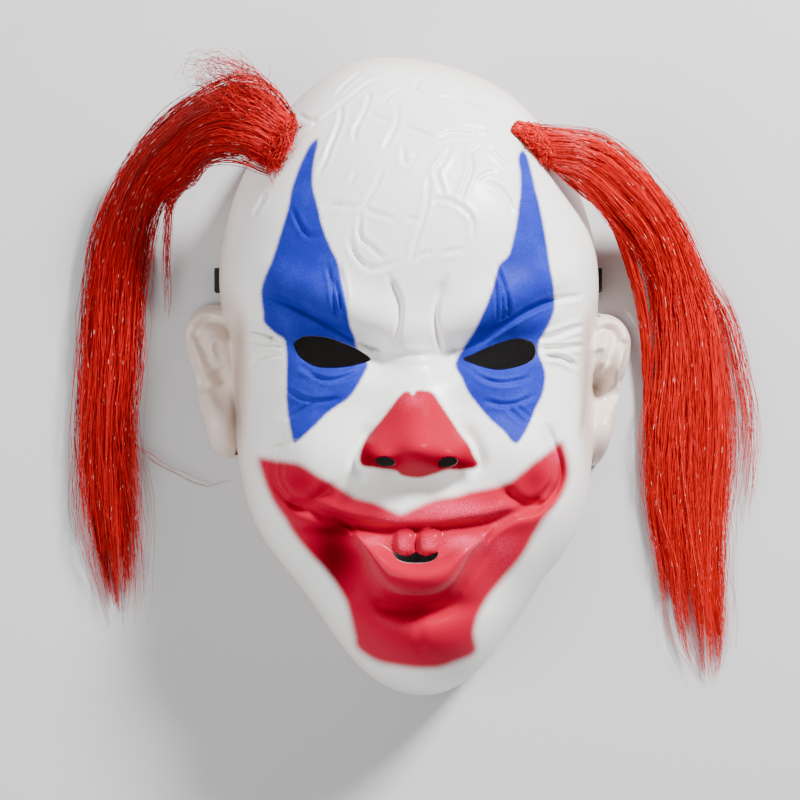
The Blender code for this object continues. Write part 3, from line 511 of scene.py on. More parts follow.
def face_front(x, y, plain=False):
    """Height of the face without its ears; plain leaves out its forms and furrows."""
    share = np.clip(face_share(x, y), 0, 1)
    lean = 0.5 - 0.5 * np.sin(np.arctan2(y - CENTRE_Y, x))
    roundness = CROWN_ROUNDNESS + (CHIN_ROUNDNESS - CROWN_ROUNDNESS) * lean**2
    fall = (1 - share**roundness) ** RIM_FALL
    crest = through([(row.up, row.height) for row in CREST])
    z = FACE_DEPTH * fall * np.interp(y / FACE_HEIGHT, crest[:, 0], crest[:, 1])
    if plain:
        return z
    keep = np.clip(fall * 2.2, 0, 1)
    for bump in PAIRED:
        for side in (-1, 1):
            z = z + keep * FACE_DEPTH * bump.rise * swell(
                side * x, y, bump, bump.across * HALF_WIDTH, HALF_WIDTH, FACE_HEIGHT
            )
    for bump in SINGLE:
        rise = NOSE_RISE if bump.name == "nose bulb" else FACE_DEPTH
        z = z + keep * rise * bump.rise * swell(
            x, y, bump, bump.across * HALF_WIDTH, HALF_WIDTH, FACE_HEIGHT
        )
    for fold in PAIRED_FOLDS:
        line = [(a * HALF_WIDTH, b * FACE_HEIGHT) for a, b in fold.points]
        for side in (-1, 1):
            z = z + keep * FACE_DEPTH * fold.depth * groove(side * x, y, line, fold.width * HALF_WIDTH)
    return z


def ear_front(x, y, side):
    share = np.clip(ear_share(x, y, side), 0, 1)
    z = EAR_DEPTH * (1 - share**3) ** RIM_FALL
    cx, cy = ear_place(side)
    u, v = side * (x - cx), y - cy
    keep = np.clip((1 - share) * 4, 0, 1)
    line = [(a * EAR_REACH, b * EAR_HEIGHT) for a, b in EAR_HELIX.points]
    z = z + keep * EAR_DEPTH * EAR_HELIX.depth * groove(u, v, line, EAR_HELIX.width * EAR_REACH * 2)
    z = z + keep * EAR_DEPTH * EAR_CONCHA.rise * swell(
        u, v, EAR_CONCHA, EAR_CONCHA.across * EAR_REACH, EAR_REACH * 2, EAR_HEIGHT
    )
    return z


def join(a, b):
    """The higher of two heights, with a soft valley where they meet."""
    soft = np.minimum(BLEND, 0.5 * np.maximum(a, b)) + 1e-6
    near = np.clip(1 - np.abs(a - b) / soft, 0, None)
    return np.maximum(a, b) + near**2 * soft / 4


def front(x, y, plain=False):
    """Height of the shell's outer side at a point of the plan."""
    z = face_front(x, y, plain)
    for side in (-1, 1):
        z = join(z, np.where(ear_share(x, y, side) < 1, ear_front(x, y, side), 0))
    return z


def outer_reach(angle):
    """Distance from the middle of the face to the rim, round the ears too."""
    face = reach_at(FACE_RIM, angle)
    out = np.linspace(0, 2.5 * EAR_REACH, 240)[:, None]
    x = (face + out) * np.cos(angle)
    y = (face + out) * np.sin(angle) + CENTRE_Y
    inside = np.minimum(ear_share(x, y, -1), ear_share(x, y, 1)) < 1
    return face + np.where(inside, out, 0).max(axis=0)


# The mask's plan in the frame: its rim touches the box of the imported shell
ANGLES = np.linspace(-math.pi, math.pi, 1441)
RIM_REACH = outer_reach(ANGLES)
RIM_X = RIM_REACH * np.cos(ANGLES)
RIM_Y = RIM_REACH * np.sin(ANGLES) + CENTRE_Y
SHIFT = np.array([SHELL_BOX[0][0] - RIM_X.min(), SHELL_BOX[0][1] - RIM_Y.min(), SHELL_BOX[0][2]])

# The view straight down on the shell
VIEW_HIGH = 0.700
VIEW_PLACE = (-0.0297, -0.0103)  # under the lens, in the frame
VIEW_MIDDLE = (-0.00165, -0.01037)  # floor point in the middle of the picture
VIEW_WIDE = 0.3385  # floor length across the picture
SENSOR = 36.0  # mm
PIXELS = 800


def to_pixels(points):
    """Where points of the mask's plan fall in the view."""
    points = np.asarray(points) + SHIFT
    grow = VIEW_HIGH / (VIEW_HIGH - points[:, 2])
    x = VIEW_PLACE[0] + (points[:, 0] - VIEW_PLACE[0]) * grow
    y = VIEW_PLACE[1] + (points[:, 1] - VIEW_PLACE[1]) * grow
    scale = PIXELS / VIEW_WIDE
    across = PIXELS / 2 + (x - VIEW_MIDDLE[0]) * scale
    down = PIXELS / 2 - (y - VIEW_MIDDLE[1]) * scale
    return np.stack([across, down], axis=1)


def on_floor(pixels):
    """Where the lines of sight through pixels of the view meet the floor, in the frame."""
    scale = VIEW_WIDE / PIXELS
    return (
        VIEW_MIDDLE[0] + (pixels[:, 0] - PIXELS / 2) * scale,
        VIEW_MIDDLE[1] - (pixels[:, 1] - PIXELS / 2) * scale,
    )


def on_mask(pixels, start=0.08, passes=14):
    """The points of the shell's outer side seen at pixels of the view, in the mask's plan."""
    pixels = np.asarray(pixels, float)
    fx, fy = on_floor(pixels)
    z = np.full(len(pixels), start)
    for _ in range(passes):
        x = VIEW_PLACE[0] + (fx - VIEW_PLACE[0]) * (1 - z / VIEW_HIGH) - SHIFT[0]
        y = VIEW_PLACE[1] + (fy - VIEW_PLACE[1]) * (1 - z / VIEW_HIGH) - SHIFT[1]
        z = 0.5 * z + 0.5 * front(x, y)
    return np.stack([x, y, z], axis=1)


LINES = {}


def plan_line(crease):
    """A crease's smooth line in the mask's plan, worked out once."""
    if crease.name not in LINES:
        LINES[crease.name] = on_mask(through(crease.points, 5))[:, :2]
    return LINES[crease.name]


CREASE_STRENGTH = 1.45  # on every fine crease
SHOULDER = 0.55  # height of the raised edges beside a fine crease, as a share of its depth


def crease_depth(x, y, creases):
    """How far the fine creases sink the sheet, in metres."""
    sink = np.zeros(np.shape(x))
    for crease in creases:
        line = plan_line(crease)
        reach = 4 * crease.width * MM
        low, high = line.min(axis=0) - reach, line.max(axis=0) + reach
        near = (x > low[0]) & (x < high[0]) & (y > low[1]) & (y < high[1])
        if near.any():
            depth = crease.depth * CREASE_STRENGTH * MM * furrow(
                x[near], y[near], line, crease.width * MM, SHOULDER
            )
            sink[near] = np.where(np.abs(depth) > np.abs(sink[near]), depth, sink[near])
    return sink


def furrow(x, y, line, width, shoulder):
    """1 on a given line and 0 away from it, shallow at both ends, with raised shoulders if asked."""
    near = np.full(np.shape(x), 1e9)
    along = np.zeros(np.shape(x))
    for i in range(len(line) - 1):
        run = line[i + 1] - line[i]
        t = np.clip(((x - line[i][0]) * run[0] + (y - line[i][1]) * run[1]) / (run @ run), 0, 1)
        gap = np.hypot(x - line[i][0] - t * run[0], y - line[i][1] - t * run[1])
        along = np.where(gap < near, (i + t) / (len(line) - 1), along)
        near = np.minimum(near, gap)
    fade = np.clip(np.minimum(along, 1 - along) * 6, 0, 1)
    side = np.exp(-(((near - 2.1 * width) / width) ** 2))
    return (np.exp(-((near / width) ** 2)) - shoulder * side) * (0.3 + 0.7 * fade)


LEAST_HIGH = 0.0042  # grooves leave the sheet this far above the rim plane


def modelled(x, y):
    """Height of the shell's outer side with the lips, teeth, nose and folds."""
    flat_x, flat_y = np.ravel(x), np.ravel(y)
    z = front(flat_x, flat_y)
    seen = to_pixels(np.stack([flat_x, flat_y, z], axis=1))
    for pillow in PILLOWS:
        gap = np.clip(signed_gap(seen, pillow.outline) / pillow.edge, 0, 1)
        z = z + pillow.height * MM * np.sqrt(gap * (2 - gap)) * (1 - (1 - gap) ** 4)
    for ridge in RIDGES + EAR_RIDGES:
        line = plan_line(ridge)
        reach = 3 * ridge.width * MM
        low, high = line.min(axis=0) - reach, line.max(axis=0) + reach
        near = (flat_x > low[0]) & (flat_x < high[0]) & (flat_y > low[1]) & (flat_y < high[1])
        if near.any():
            z[near] += ridge.depth * MM * furrow(flat_x[near], flat_y[near], line, ridge.width * MM, 0.0)
    z = np.maximum(z, np.minimum(front(flat_x, flat_y), LEAST_HIGH))
    return z.reshape(np.shape(x))


def formed(x, y):
    """Height of the shell's outer side with its fine creases."""
    return modelled(x, y) - crease_depth(x, y, SCALP_CREASES + FACE_CREASES)


def disc_grid(count):
    """Angle and ring share of a square grid folded into a disc, and its shape."""
    a, b = np.meshgrid(np.linspace(-1, 1, count), np.linspace(-1, 1, count))
    share = np.maximum(np.abs(a), np.abs(b))
    inner = np.minimum(np.abs(a), np.abs(b)) / np.maximum(share, 1e-9)
    turn = inner * math.pi / 4
    turn = np.where(np.abs(b) > np.abs(a), math.pi / 2 - turn, turn)
    angle = np.arctan2(np.sin(turn) * np.sign(b), np.cos(turn) * np.sign(a))
    angle = np.where(a == 0, np.sign(b) * math.pi / 2, angle)
    angle = np.where((b == 0) & (a < 0), math.pi, angle)
    return angle, share


def ring_radius(angle, share):
    """Distance from the middle for a share of the way along the surface, closer rings on the face."""
    ways = np.linspace(-math.pi, math.pi, 361)
    reach = outer_reach(ways)
    fine = np.sin(np.linspace(0, math.pi / 2, 300))[:, None] * reach
    x, y = fine * np.cos(ways), fine * np.sin(ways) + CENTRE_Y
    z = front(x, y, plain=True)
    z[-1] = 0
    steps = np.sqrt(np.diff(fine, axis=0) ** 2 + np.diff(z, axis=0) ** 2)
    length = np.vstack([np.zeros(len(ways)), np.cumsum(steps, axis=0)])
    length /= length[-1]
    weight = np.interp(length, (0, 0.80, 0.86, 1), (0, 0.905, 0.945, 1))
    marks = np.linspace(0, 1, 401)
    table = np.array([np.interp(marks, weight[:, i], fine[:, i]) for i in range(len(ways))])
    row = (angle + math.pi) / (2 * math.pi) * (len(ways) - 1)
    low = np.clip(row.astype(int), 0, len(ways) - 2)
    mix = row - low
    column = np.clip(share, 0, 1) * 400
    left = np.clip(column.astype(int), 0, 399)
    part = column - left
    near = table[low, left] * (1 - part) + table[low, left + 1] * part
    far = table[low + 1, left] * (1 - part) + table[low + 1, left + 1] * part
    return near * (1 - mix) + far * mix


def sheet_grid(count, creased):
    """Square grid of points on the outer side, its edge on the rim."""
    angle, share = disc_grid(count)
    radius = ring_radius(angle, share)
    edge = share > 1 - 1e-9
    radius[edge] = outer_reach(angle[edge])
    x, y = radius * np.cos(angle), radius * np.sin(angle) + CENTRE_Y
    height = formed(x.ravel(), y.ravel()).reshape(x.shape) if creased else modelled(x, y)
    z = np.maximum(height, 1.6 * WALL)
    z[edge] = 0
    return np.stack([x, y, z], axis=-1)


def outward(points):
    """Outward directions on the outer side at points of the plan."""
    step = 0.0004
    x, y = points[..., 0], points[..., 1]
    pull = 1 - 2 * step / np.maximum(np.hypot(x, y - CENTRE_Y), 0.01)
    x, y = x * pull, (y - CENTRE_Y) * pull + CENTRE_Y
    fx = (modelled(x + step, y) - modelled(x - step, y)) / (2 * step)
    fy = (modelled(x, y + step) - modelled(x, y - step)) / (2 * step)
    normal = np.stack([-fx, -fy, np.ones(np.shape(fx))], axis=-1)
    return normal / np.linalg.norm(normal, axis=-1, keepdims=True)


def clear_inner(outer, inner, least=0.0005, passes=4):
    """Lowers points of the inner side until its faces clear the outer side everywhere."""
    coarse = len(inner)
    cells = quads(coarse, False)
    flat = inner.reshape(-1, 3)
    seats = [point for point in outer[1:-1, 1:-1].reshape(-1, 3)]
    for _ in range(passes):
        tree = BVHTree.FromPolygons([tuple(p) for p in flat], [tuple(c) for c in cells])
        drop = np.zeros(len(flat))
        for x, y, z in seats:
            hit, _, cell, _ = tree.ray_cast((x, y, z + FACE_DEPTH), (0, 0, -1))
            if hit and hit.z > z - least:
                corners = cells[cell]
                drop[corners] = np.maximum(drop[corners], hit.z - z + least)
        flat[:, 2] -= drop
        if not drop.any():
            break
    return flat.reshape(inner.shape)


def edge_loop(count):
    """Indices of a square grid's edge, counter-clockwise in plan."""
    index = np.arange(count * count).reshape(count, count)
    return np.concatenate([index[0, :-1], index[:-1, -1], index[-1, :0:-1], index[:0:-1, 0]])


def quads(count, flip):
    index = np.arange(count * count).reshape(count, count)
    face = np.stack([index[:-1, :-1], index[:-1, 1:], index[1:, 1:], index[1:, :-1]], axis=-1).reshape(-1, 4)
    return face[:, ::-1] if flip else face


def sheet_mesh(fine, coarse):
    """The sheet as a closed body: creased outer side, coarser inner side and the flat rim between."""
    outer = sheet_grid(fine, True)
    smooth = sheet_grid(coarse, False)
    normal = outward(smooth)
    inner = smooth - normal * WALL
    edge = np.zeros((coarse, coarse), bool)
    edge[0], edge[-1], edge[:, 0], edge[:, -1] = True, True, True, True
    flat = normal[edge] * (1, 1, 0)
    inner[edge] = smooth[edge] - WALL * flat / np.linalg.norm(flat, axis=-1, keepdims=True)
    inner[..., 2] = np.maximum(inner[..., 2], smooth[..., 2] / 4)
    rim_points = inner[edge].copy()
    inner = clear_inner(outer, inner)
    inner[edge] = rim_points
    points = np.vstack([outer.reshape(-1, 3), inner.reshape(-1, 3)]) + SHIFT
    first = fine * fine
    faces = [tuple(face) for face in quads(fine, False)]
    backs = [tuple(face + first) for face in quads(coarse, True)]
    top, bottom = edge_loop(fine), edge_loop(coarse) + first
    each = len(top) // len(bottom)
    rim = []
    for i in range(len(bottom)):
        j = (i + 1) % len(bottom)
        ring = [top[(i * each + k) % len(top)] for k in range(each + 1)]
        for k in range(each // 2):
            rim.append((ring[k + 1], ring[k], bottom[i]))
        rim.append((ring[each // 2], bottom[i], bottom[j]))
        for k in range(each // 2, each):
            rim.append((ring[k + 1], ring[k], bottom[j]))
    data = bpy.data.meshes.new("painted shell")
    data.from_pydata([tuple(p) for p in points], [], faces + backs + [tuple(f) for f in rim])
    data.polygons.foreach_set("material_index", [0] * len(faces) + [1] * (len(backs) + len(rim)))
    data.update()
    return data


def signed_gap(pixels, outline, limit=40.0):
    """Distance of view points from an outline, positive inside it."""
    ring = through(outline, 4, closed=True)
    low, high = ring.min(axis=0) - limit, ring.max(axis=0) + limit
    pick = ((pixels > low) & (pixels < high)).all(axis=1)
    x, y = pixels[pick, 0], pixels[pick, 1]
    near = np.full(len(x), limit)
    inside = np.zeros(len(x), bool)
    for a, b in zip(ring, np.roll(ring, -1, axis=0)):
        run = b - a
        if run @ run < 1e-9:
            continue
        t = np.clip(((x - a[0]) * run[0] + (y - a[1]) * run[1]) / (run @ run), 0, 1)
        near = np.minimum(near, np.hypot(x - a[0] - t * run[0], y - a[1] - t * run[1]))
        if a[1] != b[1]:
            inside ^= ((a[1] > y) != (b[1] > y)) & (x < run[0] * (y - a[1]) / run[1] + a[0])
    gap = np.full(len(pixels), -limit)
    gap[pick] = np.where(inside, near, -near)
    return gap


def store(data, name, values):
    data.attributes.new(name, "FLOAT", "POINT").data.foreach_set("value", np.asarray(values, np.float32))


def plan_points(data):
    """A mesh's points in the mask's plan."""
    flat = np.empty(len(data.vertices) * 3)
    data.vertices.foreach_get("co", flat)
    return flat.reshape(-1, 3) - SHIFT


VALLEY_SHADE_WIDTH = 2.8  # mm, half width of the painted shade along the valley between an ear and the face


def lay_paint(data):
    """Stores how far every point is inside each painted area."""
    points = plan_points(data)
    seen = to_pixels(points)
    blue = np.maximum(signed_gap(seen, BLUE_LEFT), signed_gap(seen, BLUE_RIGHT))
    store(data, "blue", blue)
    store(data, "nose", signed_gap(seen, NOSE_PAINT))
    store(data, "mouth", signed_gap(seen, MOUTH_PAINT))
    store(data, "lips", signed_gap(seen, LIP_EDGE))
    # Spots of thinner or denser paint, which also carry the painted highlights and painted shade on the red
    thin = np.zeros(len(seen))
    for spot in PAINT_AND_PAINTED_LIGHT_SPOTS:
        away = ((seen[:, 0] - spot.x) / spot.wide) ** 2 + ((seen[:, 1] - spot.y) / spot.high) ** 2
        thin += spot.amount * np.exp(-away)
    store(data, "thin", thin)
    lift = np.clip(points[:, 2] / FACE_DEPTH, 0, 1)
    ears = np.maximum(
        1 - ear_share(points[:, 0], points[:, 1], -1), 1 - ear_share(points[:, 0], points[:, 1], 1)
    )
    store(data, "lift", lift)
    store(data, "ears", np.clip(ears * 4 + 1, 0, 1))
    # Painted shade: how near each point lies to the valley between an ear and the face
    store(
        data,
        "valley",
        sum(
            furrow(points[:, 0], points[:, 1], plan_line(line), VALLEY_SHADE_WIDTH * MM, 0) for line in EAR_RIDGES[-2:]
        ),
    )


class Nodes:
    """Small helper that adds shader nodes and links them."""

    def __init__(self, material):
        self.tree = material.node_tree
        self.tree.nodes.clear()

    def add(self, kind, **inputs):
        node = self.tree.nodes.new(kind)
        for key, value in inputs.items():
            self.put(node, key, value)
        return node

    def put(self, node, key, value):
        numbered = key[0] == "i" and key[1:].isdigit()
        socket = node.inputs[int(key[1:]) if numbered else key.replace("_", " ")]
        if hasattr(value, "is_output"):
            self.tree.links.new(value, socket)
        else:
            socket.default_value = value

    def math(self, operation, a, b=0.0, c=None):
        node = self.tree.nodes.new("ShaderNodeMath")
        node.operation = operation
        for k, value in enumerate((a, b) if c is None else (a, b, c)):
            self.put(node, f"i{k}", value)
        return node.outputs[0]

    def smooth(self, value, low, high):
        """0 below low and 1 above high, eased between them."""
        node = self.tree.nodes.new("ShaderNodeMapRange")
        node.interpolation_type = "SMOOTHERSTEP"
        self.put(node, "i0", value)
        self.put(node, "i1", low)
        self.put(node, "i2", high)
        return node.outputs[0]

    def given(self, name):
        node = self.tree.nodes.new("ShaderNodeAttribute")
        node.attribute_name = name
        return node.outputs["Fac"]

    def mix(self, amount, a, b):
        node = self.tree.nodes.new("ShaderNodeMix")
        node.data_type = "RGBA"
        self.put(node, "i0", amount)
        self.put(node, "i6", a)
        self.put(node, "i7", b)
        return node.outputs[2]

    def noise(self, place, scale, detail=3.0, rough=0.5):
        node = self.add("ShaderNodeTexNoise", Vector=place, Scale=scale, Detail=detail, Roughness=rough)
        return node.outputs["Fac"]


def tone(red, green, blue):
    """A screen colour (0 to 255) as linear values."""
    def linear(value):
        value = value / 255
        return value / 12.92 if value <= 0.04045 else ((value + 0.055) / 1.055) ** 2.4
    return (linear(red), linear(green), linear(blue), 1.0)


def new_material(name):
    material = bpy.data.materials.new(name)
    material.use_nodes = True
    return material, Nodes(material)


def speck_share(n, grain):
    """The fine grain as an amount that is added to a tone's own."""
    return n.math("MULTIPLY", n.math("SUBTRACT", grain, 0.5), 1.6)


def painted_plastic(settings):
    """Formed sheet with sprayed paint: soft edges, fine speckle, glossy lips, painted shade and highlights on
    the red and painted shade in the ear valleys.
    """
    material, n = new_material("painted plastic")
    place = n.add("ShaderNodeTexCoord").outputs["Object"]
    grain = n.noise(place, 2600.0, 2.0, 0.7)
    cloud = n.noise(place, 90.0, 4.0)
    wander = n.math("MULTIPLY", n.math("SUBTRACT", cloud, 0.5), settings.wander)
    speck = n.math("MULTIPLY", n.math("SUBTRACT", grain, 0.5), settings.speckle)

    def sprayed(name, soft):
        """Amount of one paint: a wandering soft edge that breaks up into speckle."""
        gap = n.math("ADD", n.given(name), n.math("ADD", wander, speck))
        return n.smooth(gap, -soft, soft)

    lift, ears = n.given("lift"), n.given("ears")
    thin = n.given("thin")
    front_amount = n.math("MULTIPLY", n.smooth(lift, 0.10, 0.62), n.math("SUBTRACT", 1.0, ears))
    white = n.mix(front_amount, tone(*settings.bare_tone), tone(*settings.white_tone))
    # Painted shade: the white is darkened along the valley between each ear and the face
    white = n.mix(n.math("MULTIPLY", n.given("valley"), 0.55), white, tone(*settings.valley_shade_tone))
    blue = n.mix(
        n.smooth(n.math("ADD", cloud, speck_share(n, grain)), 0.25, 0.95),
        tone(*settings.blue_tone),
        tone(*settings.blue_light),
    )
    blue_amount = sprayed("blue", settings.blue_edge)
    colour = n.mix(blue_amount, white, blue)
    # Dark where the paint is denser or shade is painted; light where it is thinner or a highlight is painted
    dense_or_shaded = n.smooth(n.math("MULTIPLY", thin, -1.0), 0.0, 1.0)
    bright = n.smooth(n.math("ADD", thin, speck_share(n, grain)), 0.0, 1.0)

    def thinned_lit_or_shaded(middle, light, dark):
        """A red that goes dark where the paint is thick or shade is painted, and pink where the white shows
        through or a highlight is painted.
        """
        return n.mix(dense_or_shaded, n.mix(bright, tone(*middle), tone(*light)), tone(*dark))

    mouth = thinned_lit_or_shaded(settings.red_tone, settings.pink_or_lit_tone, settings.deep_or_shaded_tone)
    mouth_amount = sprayed("mouth", settings.mouth_edge)
    colour = n.mix(mouth_amount, colour, mouth)
    nose = thinned_lit_or_shaded(settings.nose_tone, settings.pink_or_lit_tone, settings.deep_or_shaded_tone)
    nose_amount = sprayed("nose", settings.nose_edge)
    colour = n.mix(nose_amount, colour, nose)
    lips = n.smooth(n.given("lips"), -5.0, 7.0)
    rough = n.math("MULTIPLY_ADD", cloud, 0.10, settings.sheet_roughness - 0.05)
    rough = n.math("MULTIPLY_ADD", blue_amount, 0.12, rough)
    rough = n.math("MULTIPLY_ADD", lips, -0.14, rough)
    bump = n.add("ShaderNodeBump", Strength=0.10, Distance=0.00015, Height=n.noise(place, 700.0, 3.0))
    shader = n.add("ShaderNodeBsdfPrincipled", Base_Color=colour, Roughness=rough, Normal=bump.outputs[0])
    painted = n.math("MAXIMUM", blue_amount, n.math("MAXIMUM", mouth_amount, nose_amount))
    gloss = n.math("MULTIPLY_ADD", lips, 0.07, n.math("MULTIPLY_ADD", painted, -0.46, 0.5))
    n.put(shader, "Specular_IOR_Level", n.math("MAXIMUM", n.math("MULTIPLY_ADD", dense_or_shaded, -0.30, gloss), 0.0))
    n.add("ShaderNodeOutputMaterial", Surface=shader.outputs[0])
    return material


def bare_plastic(settings):
    material, n = new_material("bare plastic")
    place = n.add("ShaderNodeTexCoord").outputs["Object"]
    cloud = n.noise(place, 60.0, 3.0)
    colour = n.mix(n.smooth(cloud, 0.3, 0.7), tone(*settings.bare_tone), tone(*settings.inside_tone))
    shader = n.add("ShaderNodeBsdfPrincipled", Base_Color=colour, Roughness=settings.sheet_roughness)
    n.add("ShaderNodeOutputMaterial", Surface=shader.outputs[0])
    return material


def link(piece):
    bpy.context.scene.collection.objects.link(piece)
    return piece


def prism(name, outline, low, high):
    """An upright cutter over a closed outline in the mask's plan."""
    mesh = bmesh.new()
    bottom = [mesh.verts.new((x + SHIFT[0], y + SHIFT[1], low)) for x, y in outline]
    top = [mesh.verts.new((x + SHIFT[0], y + SHIFT[1], high)) for x, y in outline]
    mesh.faces.new(bottom[::-1])
    mesh.faces.new(top)
    for i in range(len(outline)):
        j = (i + 1) % len(outline)
        mesh.faces.new((bottom[i], bottom[j], top[j], top[i]))
    bmesh.ops.recalc_face_normals(mesh, faces=mesh.faces)
    data = bpy.data.meshes.new(name)
    mesh.to_mesh(data)
    mesh.free()
    return link(bpy.data.objects.new(name, data))


def block(name, low, high):
    outline = ((low[0], low[1]), (high[0], low[1]), (high[0], high[1]), (low[0], high[1]))
    return prism(name, outline, low[2], high[2])


def seen_outline(pixels, steps=4):
    """A closed outline of the view, laid on the shell and given in its plan."""
    return [tuple(p[:2]) for p in on_mask(through(pixels, steps, closed=True))]


def nostril_pixels(row):
    """The tilted oval of a nostril in the view."""
    turn = math.radians(row.tilt)
    angle = np.linspace(0, 2 * math.pi, 20, endpoint=False)
    u, v = row.wide * np.cos(angle), row.high * np.sin(angle)
    x = row.x + u * math.cos(turn) - v * math.sin(turn)
    return np.stack([x, row.y + u * math.sin(turn) + v * math.cos(turn)], axis=1)


STRAP_Y = STRAP_UP * FACE_HEIGHT
NOTCH_HEIGHT = STRAP_THICKNESS + 2 * STRAP_CLEARANCE
SLOT_LOW = NOTCH_HEIGHT + RIM_STRIP
SLOT_HEIGHT = STRAP_THICKNESS + 2 * STRAP_CLEARANCE
SLOT_LENGTH = STRAP_WIDTH + 4 * STRAP_CLEARANCE


def cutters():
    """Closed helpers for the eyes, nostrils, mouth, strap slots and rim notches."""
    floor, ceiling = 0.35 * FACE_DEPTH, FACE_DEPTH + 2 * NOSE_RISE
    made = [
        prism("cut_eye_left", seen_outline(EYE_LEFT), floor, ceiling),
        prism("cut_eye_right", seen_outline(EYE_RIGHT), floor, ceiling),
        prism("cut_mouth", seen_outline(MOUTH_HOLE), floor, ceiling),
    ]
    for k, row in enumerate(NOSTRILS):
        outline = [tuple(p[:2]) for p in on_mask(nostril_pixels(row))]
        made.append(prism(f"cut_nostril_{k}", outline, floor, ceiling))
    for side in (-1, 1):
        low_y, high_y = STRAP_Y - SLOT_LENGTH / 2, STRAP_Y + SLOT_LENGTH / 2
        near, far = sorted((side * HALF_WIDTH * 0.75, side * HALF_WIDTH * 1.1))
        made.append(block(f"cut_slot_{side}", (near, low_y, SLOT_LOW), (far, high_y, SLOT_LOW + SLOT_HEIGHT)))
        made.append(block(f"cut_notch_{side}", (near, low_y, -WALL), (far, high_y, NOTCH_HEIGHT)))
    return made


def baked(piece, keep_name):
    """The piece with its modifiers turned into a plain mesh."""
    bpy.context.view_layer.update()
    graph = bpy.context.evaluated_depsgraph_get()
    data = bpy.data.meshes.new_from_object(
        piece.evaluated_get(graph), preserve_all_data_layers=True, depsgraph=graph
    )
    data.name = keep_name
    old = piece.data
    piece.modifiers.clear()
    piece.data = data
    bpy.data.meshes.remove(old)
    return piece


def build_shell(settings):
    data = sheet_mesh(settings.fine_grid, settings.coarse_grid)
    data.materials.append(painted_plastic(settings))
    data.materials.append(bare_plastic(settings))
    piece = link(bpy.data.objects.new("painted_shell", data))
    helpers = cutters()
    for helper in helpers:
        helper.data.materials.append(data.materials[0])
        helper.data.materials.append(data.materials[1])
        helper.data.polygons.foreach_set("material_index", [1] * len(helper.data.polygons))
        step = piece.modifiers.new(helper.name, "BOOLEAN")
        step.operation = "DIFFERENCE"
        step.solver = "MANIFOLD"
        step.object = helper
    baked(piece, "painted_shell")
    for helper in helpers:
        bpy.data.objects.remove(helper)
    lay_paint(piece.data)
    piece.data.shade_smooth()
    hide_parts("mask_shell")
    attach(piece, "root")
    return piece


Section = namedtuple("Section", "outer_x outer_y inner_x inner_y lift thick")

# Cross-sections of the hair from root to tip: edges as pixels of the 800 by 800 view, height of the
# middle as a share of the root's, thickness in millimetres
LEFT_HAIR = (
    Section(293, 124, 274, 169, 1.02, 6),
    Section(282, 106, 262, 163, 1.10, 10),
    Section(264, 91, 246, 155, 1.14, 12),
    Section(240, 83, 228, 152, 1.06, 12),
    Section(209, 94, 206, 158, 0.86, 12),
    Section(177, 114, 191, 177, 0.62, 12),
    Section(150, 138, 170, 190, 0.42, 12),
    Section(124, 176, 156, 208, 0.26, 12),
    Section(105, 215, 149, 232, 0.16, 12),
    Section(92, 262, 143, 268, 0.10, 11),
    Section(86, 312, 139, 312, 0.08, 11),
    Section(83, 365, 137, 365, 0.08, 10),
    Section(79, 415, 133, 415, 0.08, 10),
    Section(77, 470, 137, 465, 0.07, 9),
    Section(81, 520, 142, 515, 0.07, 8),
    Section(92, 570, 142, 565, 0.06, 7),
    Section(106, 614, 138, 618, 0.05, 5),
)
RIGHT_HAIR = (
    Section(523, 129, 549, 165, 1.02, 5),
    Section(545, 131, 563, 170, 1.08, 9),
    Section(570, 134, 577, 178, 1.06, 11),
    Section(595, 139, 592, 193, 0.95, 12),
    Section(616, 151, 606, 209, 0.78, 12),
    Section(637, 169, 621, 225, 0.60, 12),
    Section(656, 191, 634, 243, 0.44, 12),
    Section(674, 215, 645, 261, 0.30, 12),
    Section(691, 248, 653, 283, 0.19, 12),
    Section(706, 284, 657, 312, 0.12, 11),
    Section(719, 322, 659, 345, 0.08, 11),
    Section(727, 365, 656, 388, 0.08, 10),
    Section(733, 415, 650, 425, 0.08, 10),
    Section(733, 462, 648, 465, 0.07, 9),
    Section(729, 505, 651, 508, 0.07, 8),
    Section(727, 550, 660, 555, 0.06, 7),
    Section(726, 595, 668, 597, 0.06, 6),
    Section(729, 635, 676, 640, 0.05, 5),
    Section(719, 680, 694, 678, 0.05, 4),
)


